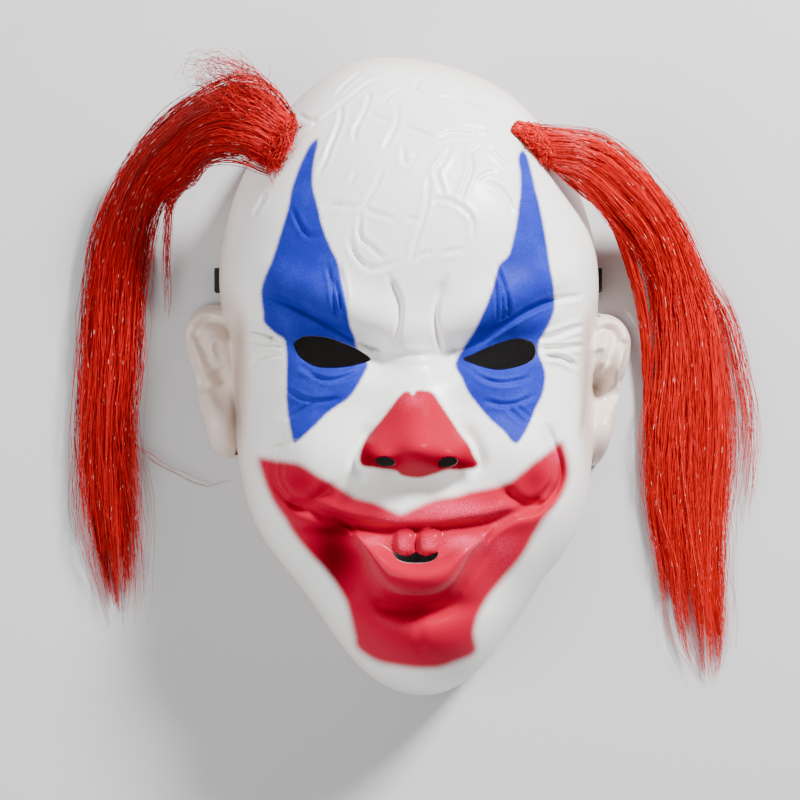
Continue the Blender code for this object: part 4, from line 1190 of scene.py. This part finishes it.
class Tree:
    """Small helper that adds geometry nodes and links them."""

    def __init__(self, name, inputs):
        self.group = bpy.data.node_groups.new(name, "GeometryNodeTree")
        self.group.interface.new_socket("Guide", in_out="INPUT", socket_type="NodeSocketGeometry")
        for label, kind in inputs:
            self.group.interface.new_socket(label, in_out="INPUT", socket_type=kind)
        self.group.interface.new_socket("Strands", in_out="OUTPUT", socket_type="NodeSocketGeometry")
        self.entry = self.group.nodes.new("NodeGroupInput")
        self.exit = self.group.nodes.new("NodeGroupOutput")

    def given(self, label):
        return self.entry.outputs[label]

    def add(self, kind, values=(), **facts):
        node = self.group.nodes.new(kind)
        for key, value in facts.items():
            setattr(node, key, value)
        for key, value in dict(values).items():
            socket = node.inputs[key]
            if hasattr(value, "is_output"):
                self.group.links.new(value, socket)
            else:
                socket.default_value = value
        return node

    def math(self, operation, a, b=0.0, c=0.0):
        node = self.add("ShaderNodeMath", {0: a, 1: b, 2: c}, operation=operation)
        return node.outputs[0]

    def vector(self, operation, a, b=(0.0, 0.0, 0.0), scale=1.0):
        values = {0: a, "Scale": scale} if operation == "SCALE" else {0: a, 1: b}
        return self.add("ShaderNodeVectorMath", values, operation=operation).outputs[0]

    def random(self, low, high, number, seed):
        """A fixed random number for each identity."""
        node = self.add("FunctionNodeRandomValue", data_type="FLOAT")
        sockets = [s for s in node.inputs if s.enabled]
        for socket, value in zip(sockets, (low, high, number, seed)):
            if hasattr(value, "is_output"):
                self.group.links.new(value, socket)
            else:
                socket.default_value = value
        return [s for s in node.outputs if s.enabled][0]

    def sampled(self, curve, attribute, factor):
        """A vector kept on the guide, read part of the way along it."""
        named = self.add("GeometryNodeInputNamedAttribute", {"Name": attribute}, data_type="FLOAT_VECTOR")
        node = self.add(
            "GeometryNodeSampleCurve", data_type="FLOAT_VECTOR", mode="FACTOR", use_all_curves=False
        )
        self.group.links.new(curve, node.inputs["Curves"])
        self.group.links.new(named.outputs[0], [s for s in node.inputs if s.enabled and s.name == "Value"][0])
        self.group.links.new(factor, node.inputs["Factor"])
        return [s for s in node.outputs if s.enabled and s.name == "Value"][0]


HAIR_INPUTS = (
    ("Count", "NodeSocketInt"),
    ("Points", "NodeSocketInt"),
    ("Seed", "NodeSocketInt"),
    ("Clumps", "NodeSocketInt"),
    ("Clump pull", "NodeSocketFloat"),
    ("Spread", "NodeSocketFloat"),
    ("Shortest", "NodeSocketFloat"),
    ("Lock stagger", "NodeSocketFloat"),
    ("Latest start", "NodeSocketFloat"),
    ("Root crowding", "NodeSocketFloat"),
    ("Frizz", "NodeSocketFloat"),
    ("Frizz waves", "NodeSocketFloat"),
    ("Radius", "NodeSocketFloat"),
    ("Floor", "NodeSocketFloat"),
    ("Finish", "NodeSocketMaterial"),
)


def hair_tree():
    """Strands that run along a guide, gathered in locks, each with its own length, place and wave."""
    tree = Tree("strands along a guide", HAIR_INPUTS)
    guide = tree.add("GeometryNodeMeshToCurve", {"Mesh": tree.given("Guide")}).outputs[0]
    line = tree.add("GeometryNodeCurvePrimitiveLine").outputs[0]
    line = tree.add(
        "GeometryNodeResampleCurve", {"Curve": line, "Count": tree.given("Points")}, mode="COUNT"
    ).outputs[0]
    spots = tree.add("GeometryNodePoints", {"Count": tree.given("Count")}).outputs[0]
    copies = tree.add("GeometryNodeInstanceOnPoints", {"Points": spots, "Instance": line}).outputs[0]
    strands = tree.add("GeometryNodeRealizeInstances", {"Geometry": copies}).outputs[0]
    index = tree.add("GeometryNodeInputIndex").outputs[0]
    strand = tree.math("FLOOR", tree.math("DIVIDE", tree.math("ADD", index, 0.5), tree.given("Points")))
    way = tree.add("GeometryNodeSplineParameter").outputs["Factor"]
    seed = tree.given("Seed")

    def draw(low, high, number, step):
        return tree.random(low, high, number, tree.math("ADD", seed, step))

    short = tree.math("POWER", draw(0.0, 1.0, strand, 1), 1.6)
    loss = tree.math("MULTIPLY", short, tree.math("SUBTRACT", 1.0, tree.given("Shortest")))
    reach = tree.math("SUBTRACT", 1.0, loss)
    start = tree.math(
        "MULTIPLY", tree.math("POWER", draw(0.0, 1.0, strand, 11), 3.0), tree.given("Latest start")
    )
    eased = tree.math("POWER", way, tree.given("Root crowding"))
    run = tree.math("ADD", start, tree.math("MULTIPLY", eased, tree.math("SUBTRACT", reach, start)))
    lock = tree.math("FLOOR", tree.math("MULTIPLY", draw(0.0, 0.9999, strand, 2), tree.given("Clumps")))
    cut = tree.math(
        "SUBTRACT", 1.0, tree.math("MULTIPLY", draw(0.0, 1.0, lock, 12), tree.given("Lock stagger"))
    )
    run = tree.math("MULTIPLY", run, cut)
    gathered = tree.math("POWER", tree.math("MINIMUM", tree.math("MULTIPLY", run, 1.1), 1.0), 1.4)
    pull = tree.math("MULTIPLY", tree.given("Clump pull"), gathered)

    def placed(step):
        own = draw(-1.0, 1.0, strand, step)
        shared = draw(-1.0, 1.0, lock, step + 1)
        kept = tree.math("MULTIPLY", own, tree.math("SUBTRACT", 1.0, pull))
        place = tree.math("ADD", kept, tree.math("MULTIPLY", shared, pull))
        return tree.math("MULTIPLY", place, tree.given("Spread"))

    aside, above = placed(3), placed(5)
    round_ = tree.math(
        "SQRT", tree.math("MAXIMUM", tree.math("SUBTRACT", 1.0, tree.math("MULTIPLY", aside, aside)), 0.04)
    )
    above = tree.math("MULTIPLY", above, round_)
    place = tree.sampled(guide, "middle", run)
    across = tree.vector("SCALE", tree.sampled(guide, "across", run), scale=aside)
    over = tree.vector("SCALE", tree.sampled(guide, "over", run), scale=above)
    spot = tree.vector("ADD", tree.vector("ADD", place, across), over)
    seat = tree.add("ShaderNodeCombineXYZ", {
        "X": tree.math("MULTIPLY", strand, 3.173),
        "Y": tree.math("MULTIPLY", run, tree.given("Frizz waves")), "Z": seed,
    }).outputs[0]
    noise = tree.add("ShaderNodeTexNoise", {"Vector": seat, "Scale": 1.0, "Detail": 2.0}).outputs["Color"]
    shake = tree.vector("SUBTRACT", noise, (0.5, 0.5, 0.5))
    size = tree.math(
        "MULTIPLY", tree.given("Frizz"), tree.math("ADD", tree.math("MULTIPLY", way, 0.85), 0.15)
    )
    shake = tree.vector("SCALE", shake, scale=size)
    spot = tree.vector("ADD", spot, shake)
    parts = tree.add("ShaderNodeSeparateXYZ", {"Vector": spot}).outputs
    height = tree.math("MAXIMUM", parts[2], tree.given("Floor"))
    spot = tree.add("ShaderNodeCombineXYZ", {"X": parts[0], "Y": parts[1], "Z": height}).outputs[0]
    strands = tree.add("GeometryNodeSetPosition", {"Geometry": strands, "Position": spot}).outputs[0]
    thin = tree.math("SUBTRACT", 1.0, tree.math("MULTIPLY", tree.math("POWER", way, 4.0), 0.7))
    own = tree.math("MULTIPLY", tree.given("Radius"), draw(0.7, 1.3, strand, 7))
    for name, value in (
        ("tone", draw(0.0, 1.0, strand, 8)), ("lock", draw(0.0, 1.0, lock, 9)), ("along", run)
    ):
        keep = tree.add("GeometryNodeStoreNamedAttribute", data_type="FLOAT", domain="POINT")
        tree.group.links.new(strands, keep.inputs["Geometry"])
        keep.inputs["Name"].default_value = name
        tree.group.links.new(value, [s for s in keep.inputs if s.enabled and s.name == "Value"][0])
        strands = keep.outputs[0]
    ring = tree.add(
        "GeometryNodeCurvePrimitiveCircle", {"Resolution": 3, "Radius": 1.0}, mode="RADIUS"
    ).outputs[0]
    thick = tree.math("MULTIPLY", own, thin)
    tubes = tree.add("GeometryNodeCurveToMesh", {
        "Curve": strands, "Profile Curve": ring, "Scale": thick, "Fill Caps": True,
    }).outputs[0]
    tubes = tree.add("GeometryNodeRealizeInstances", {"Geometry": tubes}).outputs[0]
    tubes = tree.add("GeometryNodeSetMaterial", {
        "Geometry": tubes, "Material": tree.given("Finish"),
    }).outputs[0]
    tree.group.links.new(tubes, tree.exit.inputs[0])
    return tree.group


def lifted(pixels, heights):
    """World points at given heights seen at pixels of the view."""
    pixels, heights = np.asarray(pixels, float), np.asarray(heights, float)
    fx, fy = on_floor(pixels)
    x = VIEW_PLACE[0] + (fx - VIEW_PLACE[0]) * (1 - heights / VIEW_HIGH)
    y = VIEW_PLACE[1] + (fy - VIEW_PLACE[1]) * (1 - heights / VIEW_HIGH)
    return np.stack([x, y, heights], axis=1)


def hair_guide(name, sections, root):
    """A line along the hair that carries half of its width and thickness as vectors."""
    rows = through([tuple(row) for row in sections], 6)
    ground = front(np.array([root[0] * HALF_WIDTH]), np.array([root[1] * FACE_HEIGHT]))[0]
    half = rows[:, 5] * MM / 2
    height = np.maximum(rows[:, 4] * ground, half + 0.0004)
    outer, inner = lifted(rows[:, 0:2], height), lifted(rows[:, 2:4], height)
    middle, across = (outer + inner) / 2, (outer - inner) / 2
    way = np.gradient(middle, axis=0)
    over = np.cross(across, way)
    over /= np.linalg.norm(over, axis=1, keepdims=True)
    over *= np.where(over[:, 2:] < 0, -1, 1) * half[:, None]
    return guide_mesh(name, middle, across, over)


def guide_mesh(name, middle, across, over):
    data = bpy.data.meshes.new(name)
    data.from_pydata([tuple(p) for p in middle], [(i, i + 1) for i in range(len(middle) - 1)], [])
    for label, values in (("middle", middle), ("across", across), ("over", over)):
        layer = data.attributes.new(label, "FLOAT_VECTOR", "POINT")
        layer.data.foreach_set("vector", np.asarray(values, np.float32).ravel())
    return data


def run_tree(piece, group, values):
    """Runs a tree on a piece once and keeps its result as a plain mesh."""
    step = piece.modifiers.new(group.name, "NODES")
    step.node_group = group
    names = {item.name: item.identifier for item in group.interface.items_tree if item.in_out == "INPUT"}
    for label, value in values.items():
        step[names[label]] = value
    return baked(piece, piece.name)


def hair_finish(name, dark, middle, bright, glint_tone):
    """Glossy dyed fibre: each strand has its own tone, with short bright glints along it."""
    material, n = new_material(name)
    tone_of, lock_of, along = n.given("tone"), n.given("lock"), n.given("along")
    shade = n.math("ADD", n.math("MULTIPLY", tone_of, 0.45), n.math("MULTIPLY", lock_of, 0.55))
    colour = n.mix(n.smooth(shade, 0.05, 0.60), tone(*dark), tone(*middle))
    colour = n.mix(n.smooth(shade, 0.72, 1.0), colour, tone(*bright))
    spot = n.add(
        "ShaderNodeCombineXYZ", X=n.math("MULTIPLY", tone_of, 900.0), Y=n.math("MULTIPLY", along, 42.0)
    )
    # Glints are painted highlights: short whitish dashes mixed into the strand's colour
    glint = n.smooth(n.noise(spot.outputs[0], 1.0, 1.0), 0.695, 0.73)
    colour = n.mix(n.math("MULTIPLY", glint, 0.9), colour, tone(*glint_tone))
    shader = n.add(
        "ShaderNodeBsdfPrincipled", Base_Color=colour, Roughness=n.math("MULTIPLY_ADD", glint, -0.1, 0.48)
    )
    shader.inputs["Specular IOR Level"].default_value = 0.22
    n.add("ShaderNodeOutputMaterial", Surface=shader.outputs[0])
    return material


Root = namedtuple("Root", "x y lift thick reach")

# The fuzzy strip that the hair is glued on: middle line as pixels of the view, then millimetres
LEFT_STRIP = (
    Root(287, 123, 7.0, 8, 4.4),
    Root(282, 138, 10.0, 8, 6.0),
    Root(276, 153, 10.0, 8, 6.0),
    Root(268, 169, 6.5, 9, 4.4),
)
RIGHT_STRIP = (
    Root(513, 127, 2.4, 4, 2.6),
    Root(526, 134, 5.0, 6, 3.8),
    Root(540, 148, 6.0, 7, 4.0),
    Root(554, 167, 5.0, 7, 3.4),
)


Wisp = namedtuple("Wisp", "side strands frizz sections")

# Thin locks and flyaway fibres beside the bunches
WISPS = (
    Wisp("left", 9, 0.006, (
        Section(276, 158, 264, 166, 1.10, 4), Section(286, 186, 272, 190, 1.14, 2),
        Section(293, 220, 277, 214, 1.18, 2),
    )),
    Wisp("left", 120, 0.030, (
        Section(283, 112, 268, 140, 1.10, 5), Section(262, 80, 246, 118, 1.20, 9),
        Section(236, 58, 222, 100, 1.15, 12), Section(208, 48, 196, 86, 1.00, 14),
        Section(190, 56, 184, 80, 0.85, 12),
    )),
    Wisp("left", 60, 0.008, (
        Section(245, 118, 240, 150, 1.00, 6), Section(205, 150, 203, 162, 0.80, 6),
        Section(180, 178, 186, 186, 0.50, 5), Section(166, 205, 173, 207, 0.30, 4),
        Section(163, 240, 170, 240, 0.15, 3), Section(163, 280, 169, 280, 0.10, 3),
        Section(165, 318, 169, 318, 0.08, 3),
    )),
    Wisp("left", 5, 0.010, (
        Section(120, 430, 132, 440, 0.08, 3), Section(150, 450, 146, 456, 0.08, 3),
        Section(182, 470, 180, 476, 0.08, 3), Section(214, 482, 214, 487, 0.08, 3),
        Section(238, 476, 240, 480, 0.10, 3),
    )),
    Wisp("right", 150, 0.006, (
        Section(560, 150, 556, 172, 1.05, 6), Section(590, 183, 585, 197, 0.90, 6),
        Section(609, 205, 601, 209, 0.70, 5), Section(624, 234, 616, 236, 0.50, 4),
        Section(638, 268, 628, 270, 0.30, 4), Section(648, 310, 638, 310, 0.16, 4),
        Section(652, 349, 642, 349, 0.10, 4), Section(654, 398, 644, 398, 0.08, 4),
        Section(656, 450, 645, 450, 0.08, 4), Section(654, 502, 647, 502, 0.06, 3),
    )),
    Wisp("right", 220, 0.006, (
        Section(690, 360, 660, 372, 0.10, 6), Section(668, 440, 648, 445, 0.08, 5),
        Section(660, 500, 648, 500, 0.07, 4), Section(665, 553, 655, 556, 0.06, 4),
        Section(669, 602, 661, 602, 0.05, 3),
    )),
    Wisp("right", 50, 0.012, (
        Section(700, 260, 690, 280, 0.20, 6), Section(733, 310, 720, 320, 0.12, 6),
        Section(750, 370, 736, 372, 0.10, 6), Section(760, 430, 744, 430, 0.10, 5),
        Section(758, 480, 744, 480, 0.08, 4), Section(752, 523, 740, 520, 0.06, 3),
    )),
)


def strip_guide(name, rows):
    """A line along the glued strip, lying on the shell, with its half width and thickness."""
    rows = through([tuple(row) for row in rows], 5)
    middle = on_mask(rows[:, :2]) + SHIFT
    middle[:, 2] += rows[:, 2] * MM
    way = np.gradient(middle, axis=0)
    way /= np.linalg.norm(way, axis=1, keepdims=True)
    over = outward(middle - SHIFT)
    across = np.cross(way, over)
    across *= (rows[:, 4] * MM / np.linalg.norm(across, axis=1))[:, None]
    over = over * (rows[:, 3] * MM / 2)[:, None]
    return guide_mesh(name, middle, across, over)


def build_hair(settings):
    group = hair_tree()
    # The left bunch takes darker tones and the right bunch lighter ones: painted shade on the left and
    # painted light on the right, a shaded and a lit copy of one red fibre. The curls on both strips take the
    # lighter, lit tones.
    sides = (
        ("left", LEFT_HAIR, LEFT_ROOT, LEFT_STRIP, (
            settings.left_shaded_dark, settings.left_shaded_middle, settings.left_shaded_bright,
        )),
        ("right", RIGHT_HAIR, RIGHT_ROOT, RIGHT_STRIP, (
            settings.right_lit_dark, settings.right_lit_middle, settings.right_lit_bright,
        )),
    )
    for number, (side, sections, root, strip_rows, tones) in enumerate(sides):
        finish = hair_finish(f"red fibre {side}", *tones, settings.glint)
        curls = hair_finish(
            f"red curls {side}", settings.right_lit_dark, settings.right_lit_middle, settings.right_lit_bright,
            settings.glint,
        )
        common = {"Floor": 0.0004, "Finish": finish}
        main = {
            "Count": settings.strands, "Points": 15, "Seed": settings.seed + number * 50,
            "Clumps": settings.locks, "Clump pull": settings.lock_pull, "Spread": 1.0, "Shortest": 0.78,
            "Lock stagger": 0.22, "Latest start": 0.0, "Root crowding": 1.4, "Frizz": 0.0020,
            "Frizz waves": 3.0, "Radius": settings.radius,
        }
        loose = {
            "Count": settings.loose_strands, "Points": 22, "Seed": settings.seed + 20 + number * 50,
            "Clumps": 30, "Clump pull": 0.2, "Spread": 1.30, "Shortest": 0.35, "Lock stagger": 0.0,
            "Latest start": 0.5, "Root crowding": 1.0, "Frizz": 0.024, "Frizz waves": 4.0,
            "Radius": settings.radius * 0.85,
        }
        fuzz = {
            "Count": settings.root_strands, "Points": 22, "Seed": settings.seed + 30 + number * 50,
            "Clumps": 1, "Clump pull": 0.0, "Spread": 1.0, "Shortest": 0.25, "Lock stagger": 0.0,
            "Latest start": 0.9, "Root crowding": 1.0, "Frizz": 0.019, "Frizz waves": 8.0,
            "Radius": settings.radius * 1.2,
        }
        bunch, strip = hair_guide(f"bunch_{side}", sections, root), strip_guide(f"strip_{side}", strip_rows)
        jobs = [("hair", main, bunch), ("loose_hair", loose, bunch.copy()), (
            "root_hair", {**fuzz, "Finish": curls}, strip,
        )]
        for k, wisp in enumerate(WISPS):
            if wisp.side == side:
                own = {
                    "Count": wisp.strands, "Points": 18, "Seed": settings.seed + 60 + k, "Clumps": 9,
                    "Clump pull": 0.4, "Shortest": 0.35, "Latest start": 0.25, "Frizz": wisp.frizz,
                    "Radius": settings.radius * 0.8,
                }
                jobs.append((f"wisp_{k}", {**loose, **own}, hair_guide(f"wisp_{k}", wisp.sections, root)))
        for label, values, guide in jobs:
            name = f"{label}_{side}"
            piece = link(bpy.data.objects.new(name, guide))
            run_tree(piece, group, {**common, **values})
            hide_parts(f"hair_bunch_{side}")
            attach(piece, "root")


def ribbed_elastic():
    """Black woven elastic: raised ribs along the band and a fine cross weave."""
    material, n = new_material("black elastic")
    place = n.add("ShaderNodeTexCoord").outputs["Object"]
    parts = n.add("ShaderNodeSeparateXYZ", Vector=place).outputs
    ribs = n.math("SINE", n.math("MULTIPLY", parts[1], 2 * math.pi / 0.0011))
    weave = n.math("SINE", n.math("MULTIPLY", n.math("ADD", parts[0], parts[2]), 2 * math.pi / 0.0007))
    height = n.math("MULTIPLY_ADD", weave, 0.4, ribs)
    # Darker in the grooves and lighter on the rib tops, following the bump's height: painted shade in the
    # grooves and painted light on the rib tops
    colour = n.mix(n.smooth(height, -1.2, 1.2), tone(5, 5, 6), tone(26, 26, 28))
    bump = n.add("ShaderNodeBump", Strength=0.6, Distance=0.0002, Height=height)
    shader = n.add("ShaderNodeBsdfPrincipled", Base_Color=colour, Roughness=0.75, Normal=bump.outputs[0])
    n.add("ShaderNodeOutputMaterial", Surface=shader.outputs[0])
    return material


def build_strap(settings):
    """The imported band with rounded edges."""
    source = bpy.data.objects["elastic_strap"]
    data = source.data.copy()
    data.materials.clear()
    data.materials.append(ribbed_elastic())
    mesh = bmesh.new()
    mesh.from_mesh(data)
    bmesh.ops.remove_doubles(mesh, verts=mesh.verts, dist=1e-6)
    bmesh.ops.recalc_face_normals(mesh, faces=mesh.faces)
    mesh.to_mesh(data)
    mesh.free()
    piece = link(bpy.data.objects.new("elastic_band", data))
    data.transform(source.matrix_world)
    round_edges = piece.modifiers.new("round edges", "BEVEL")
    round_edges.width = settings.edge_round
    round_edges.segments = 3
    round_edges.angle_limit = math.radians(50)
    baked(piece, "elastic_band")
    piece.data.shade_smooth()
    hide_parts("elastic_strap")
    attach(piece, "root")


def screen_tone(name, description, default):
    """A setting that holds a screen colour, 0 to 255."""
    return bpy.props.IntVectorProperty(name=name, description=description, default=default)


class ShellSettings(bpy.types.PropertyGroup):
    fine_grid: bpy.props.IntProperty(
        name="Outer grid",
        description="Points along each edge of the outer side's grid",
        default=289,
        min=61,
    )
    coarse_grid: bpy.props.IntProperty(
        name="Inner grid", description="Points along each edge of the inner side's grid", default=97, min=13
    )
    sheet_roughness: bpy.props.FloatProperty(
        name="Sheet roughness", description="Roughness of the formed sheet", default=0.34, min=0, max=1
    )
    white_tone: screen_tone("White", "Screen colour of the front", (246, 245, 242))
    bare_tone: screen_tone("Bare sheet", "Screen colour of sides and ears", (228, 210, 198))
    # Colour of the painted shade in the valley between the ears and the face
    valley_shade_tone: screen_tone("Valley", "Screen colour between the ears and the face", (150, 122, 108))
    inside_tone: screen_tone("Inside", "Screen colour of the unpainted inner side", (206, 196, 190))
    blue_tone: screen_tone("Blue", "Screen colour of the blue paint", (28, 36, 152))
    blue_light: screen_tone("Light blue", "Screen colour of thinner blue", (48, 60, 180))
    blue_edge: bpy.props.FloatProperty(
        name="Blue edge", description="Half width of the blue edge in view pixels", default=2.6
    )
    red_tone: screen_tone("Red", "Screen colour of the mouth paint", (182, 0, 46))
    # Dark red of dense paint, also the colour of the painted shade round the mouth and nose
    deep_or_shaded_tone: screen_tone("Deep red", "Screen colour of dense red paint", (84, 0, 10))
    pink_or_lit_tone: screen_tone("Pink", "Screen colour of thin red paint over white", (236, 70, 112))
    # Pink of thin paint, also the colour of the painted highlights on the lower lip
    mouth_edge: bpy.props.FloatProperty(
        name="Mouth edge", description="Half width of the mouth paint's edge in view pixels", default=6.0
    )
    nose_tone: screen_tone("Nose", "Screen colour of the nose", (172, 0, 42))
    nose_edge: bpy.props.FloatProperty(
        name="Nose edge", description="Half width of the nose paint's edge in view pixels", default=2.5
    )
    wander: bpy.props.FloatProperty(
        name="Wander", description="How far paint edges wander in view pixels", default=2.0
    )
    speckle: bpy.props.FloatProperty(
        name="Speckle", description="How far paint edges break up in view pixels", default=5.0
    )


class HairSettings(bpy.types.PropertyGroup):
    strands: bpy.props.IntProperty(name="Strands", description="Strands in each bunch", default=2260, min=10)
    loose_strands: bpy.props.IntProperty(
        name="Loose strands", description="Flyaway strands round each bunch", default=420, min=0
    )
    root_strands: bpy.props.IntProperty(
        name="Root strands", description="Curly strands on each glued strip", default=650, min=0
    )
    locks: bpy.props.IntProperty(
        name="Locks", description="Locks that the strands gather in", default=30, min=1
    )
    lock_pull: bpy.props.FloatProperty(
        name="Lock pull", description="How far strands draw together in their lock", default=0.90, min=0,
        max=1,
    )
    radius: bpy.props.FloatProperty(
        name="Strand radius", description="Radius of a strand", default=0.00015, unit="LENGTH"
    )
    seed: bpy.props.IntProperty(name="Seed", description="Number that fixes the random places", default=7)
    # The left bunch's tones: the red fibre darkened as painted shade
    left_shaded_dark: screen_tone("Left dark", "Screen colour of the left bunch's dark strands", (104, 0, 5))
    left_shaded_middle: screen_tone("Left middle", "Screen colour of the left bunch", (196, 0, 7))
    left_shaded_bright: screen_tone("Left bright", "Screen colour of the left bunch's bright strands", (240, 28, 22))
    # Colour of the painted highlights (glints) on the strands
    glint: screen_tone("Glint", "Screen colour of the short glints", (255, 176, 160))
    # The right bunch's tones, also used for the curls: the red fibre lightened as painted light
    right_lit_dark: screen_tone("Right dark", "Screen colour of the right bunch's dark strands", (158, 0, 8))
    right_lit_middle: screen_tone("Right middle", "Screen colour of the right bunch", (216, 8, 10))
    right_lit_bright: screen_tone(
        "Right bright", "Screen colour of the right bunch's bright strands", (250, 72, 58)
    )


class StrapSettings(bpy.types.PropertyGroup):
    edge_round: bpy.props.FloatProperty(
        name="Edge rounding", description="Radius of the band's edges", default=0.0003, unit="LENGTH"
    )


class StageSettings(bpy.types.PropertyGroup):
    floor_tone: screen_tone("Floor", "Screen colour of the floor", (200, 200, 202))
    key_power: bpy.props.FloatProperty(
        name="Key light", description="Power of the main light", default=46.0, unit="POWER"
    )
    fill_power: bpy.props.FloatProperty(
        name="Fill light", description="Power of the fill light", default=13.0, unit="POWER"
    )
    sky: bpy.props.FloatProperty(
        name="Sky", description="Strength of the even surrounding light", default=0.33
    )


def soft_light(name, place, size, power, colour=(1.0, 1.0, 1.0)):
    lamp = bpy.data.lights.new(name, "AREA")
    lamp.shape = "RECTANGLE"
    lamp.size, lamp.size_y = size
    lamp.energy = power
    lamp.color = colour
    holder = link(bpy.data.objects.new(name, lamp))
    holder.location = place
    aim = Vector((0, 0, 0.04)) - Vector(place)
    holder.rotation_euler = aim.to_track_quat("-Z", "Y").to_euler()


def build_stage(settings):
    half = 4.0
    data = bpy.data.meshes.new("floor")
    data.from_pydata(
        [(-half, -half, 0), (half, -half, 0), (half, half, 0), (-half, half, 0)], [], [(0, 1, 2, 3)]
    )
    material, n = new_material("pale floor")
    shader = n.add("ShaderNodeBsdfPrincipled", Base_Color=tone(*settings.floor_tone), Roughness=0.9)
    n.add("ShaderNodeOutputMaterial", Surface=shader.outputs[0])
    data.materials.append(material)
    link(bpy.data.objects.new("floor", data))
    soft_light("key", (0.62, 0.78, 0.72), (0.24, 0.24), settings.key_power)
    soft_light("fill", (-0.8, -0.3, 0.9), (1.0, 1.0), settings.fill_power)
    world = bpy.data.worlds.new("studio")
    world.use_nodes = True
    world.node_tree.nodes["Background"].inputs["Color"].default_value = (1, 1, 1, 1)
    world.node_tree.nodes["Background"].inputs["Strength"].default_value = settings.sky
    bpy.context.scene.world = world
    lens = bpy.data.cameras.new("view")
    lens.sensor_width = SENSOR
    lens.lens = SENSOR * VIEW_HIGH / VIEW_WIDE
    lens.shift_x = (VIEW_MIDDLE[0] - VIEW_PLACE[0]) / VIEW_WIDE
    lens.shift_y = (VIEW_MIDDLE[1] - VIEW_PLACE[1]) / VIEW_WIDE
    camera = link(bpy.data.objects.new("view", lens))
    camera.location = (*VIEW_PLACE, VIEW_HIGH)
    bpy.context.scene.camera = camera


class MASK_OT_shell(bpy.types.Operator):
    """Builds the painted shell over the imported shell"""
    bl_idname = "mask.shell"
    bl_label = "Painted shell"

    def execute(self, context):
        build_shell(context.scene.mask_shell)
        return {"FINISHED"}


class MASK_OT_hair(bpy.types.Operator):
    """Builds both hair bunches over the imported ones"""
    bl_idname = "mask.hair"
    bl_label = "Hair bunches"

    def execute(self, context):
        build_hair(context.scene.mask_hair)
        return {"FINISHED"}


class MASK_OT_strap(bpy.types.Operator):
    """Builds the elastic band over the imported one"""
    bl_idname = "mask.strap"
    bl_label = "Elastic strap"

    def execute(self, context):
        build_strap(context.scene.mask_strap)
        return {"FINISHED"}


class MASK_OT_stage(bpy.types.Operator):
    """Adds the floor, the lights and the view"""
    bl_idname = "mask.stage"
    bl_label = "Stage"

    def execute(self, context):
        build_stage(context.scene.mask_stage)
        return {"FINISHED"}


SETTINGS = (
    ("mask_shell", ShellSettings), ("mask_hair", HairSettings), ("mask_strap", StrapSettings),
    ("mask_stage", StageSettings),
)
OPERATORS = (MASK_OT_shell, MASK_OT_hair, MASK_OT_strap, MASK_OT_stage)


class MASK_PT_panel(bpy.types.Panel):
    """Buttons and settings of the clown mask builder"""
    bl_idname = "MASK_PT_panel"
    bl_label = "Clown mask"
    bl_space_type = "VIEW_3D"
    bl_region_type = "UI"
    bl_category = "Mask"

    def draw(self, context):
        for operator in OPERATORS:
            self.layout.operator(operator.bl_idname)
        for name, group in SETTINGS:
            box = self.layout.box()
            for key in group.__annotations__:
                box.prop(getattr(context.scene, name), key)


def register():
    for name, group in SETTINGS:
        bpy.utils.register_class(group)
        setattr(bpy.types.Scene, name, bpy.props.PointerProperty(type=group))
    for operator in OPERATORS:
        bpy.utils.register_class(operator)
    bpy.utils.register_class(MASK_PT_panel)


def unregister():
    bpy.utils.unregister_class(MASK_PT_panel)
    for operator in OPERATORS:
        bpy.utils.unregister_class(operator)
    for name, group in SETTINGS:
        delattr(bpy.types.Scene, name)
        bpy.utils.unregister_class(group)


def main():
    register()
    for operator in OPERATORS:
        getattr(bpy.ops.mask, operator.bl_idname.split(".")[1])()
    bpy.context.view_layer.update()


if __name__ == "__main__":
    main()
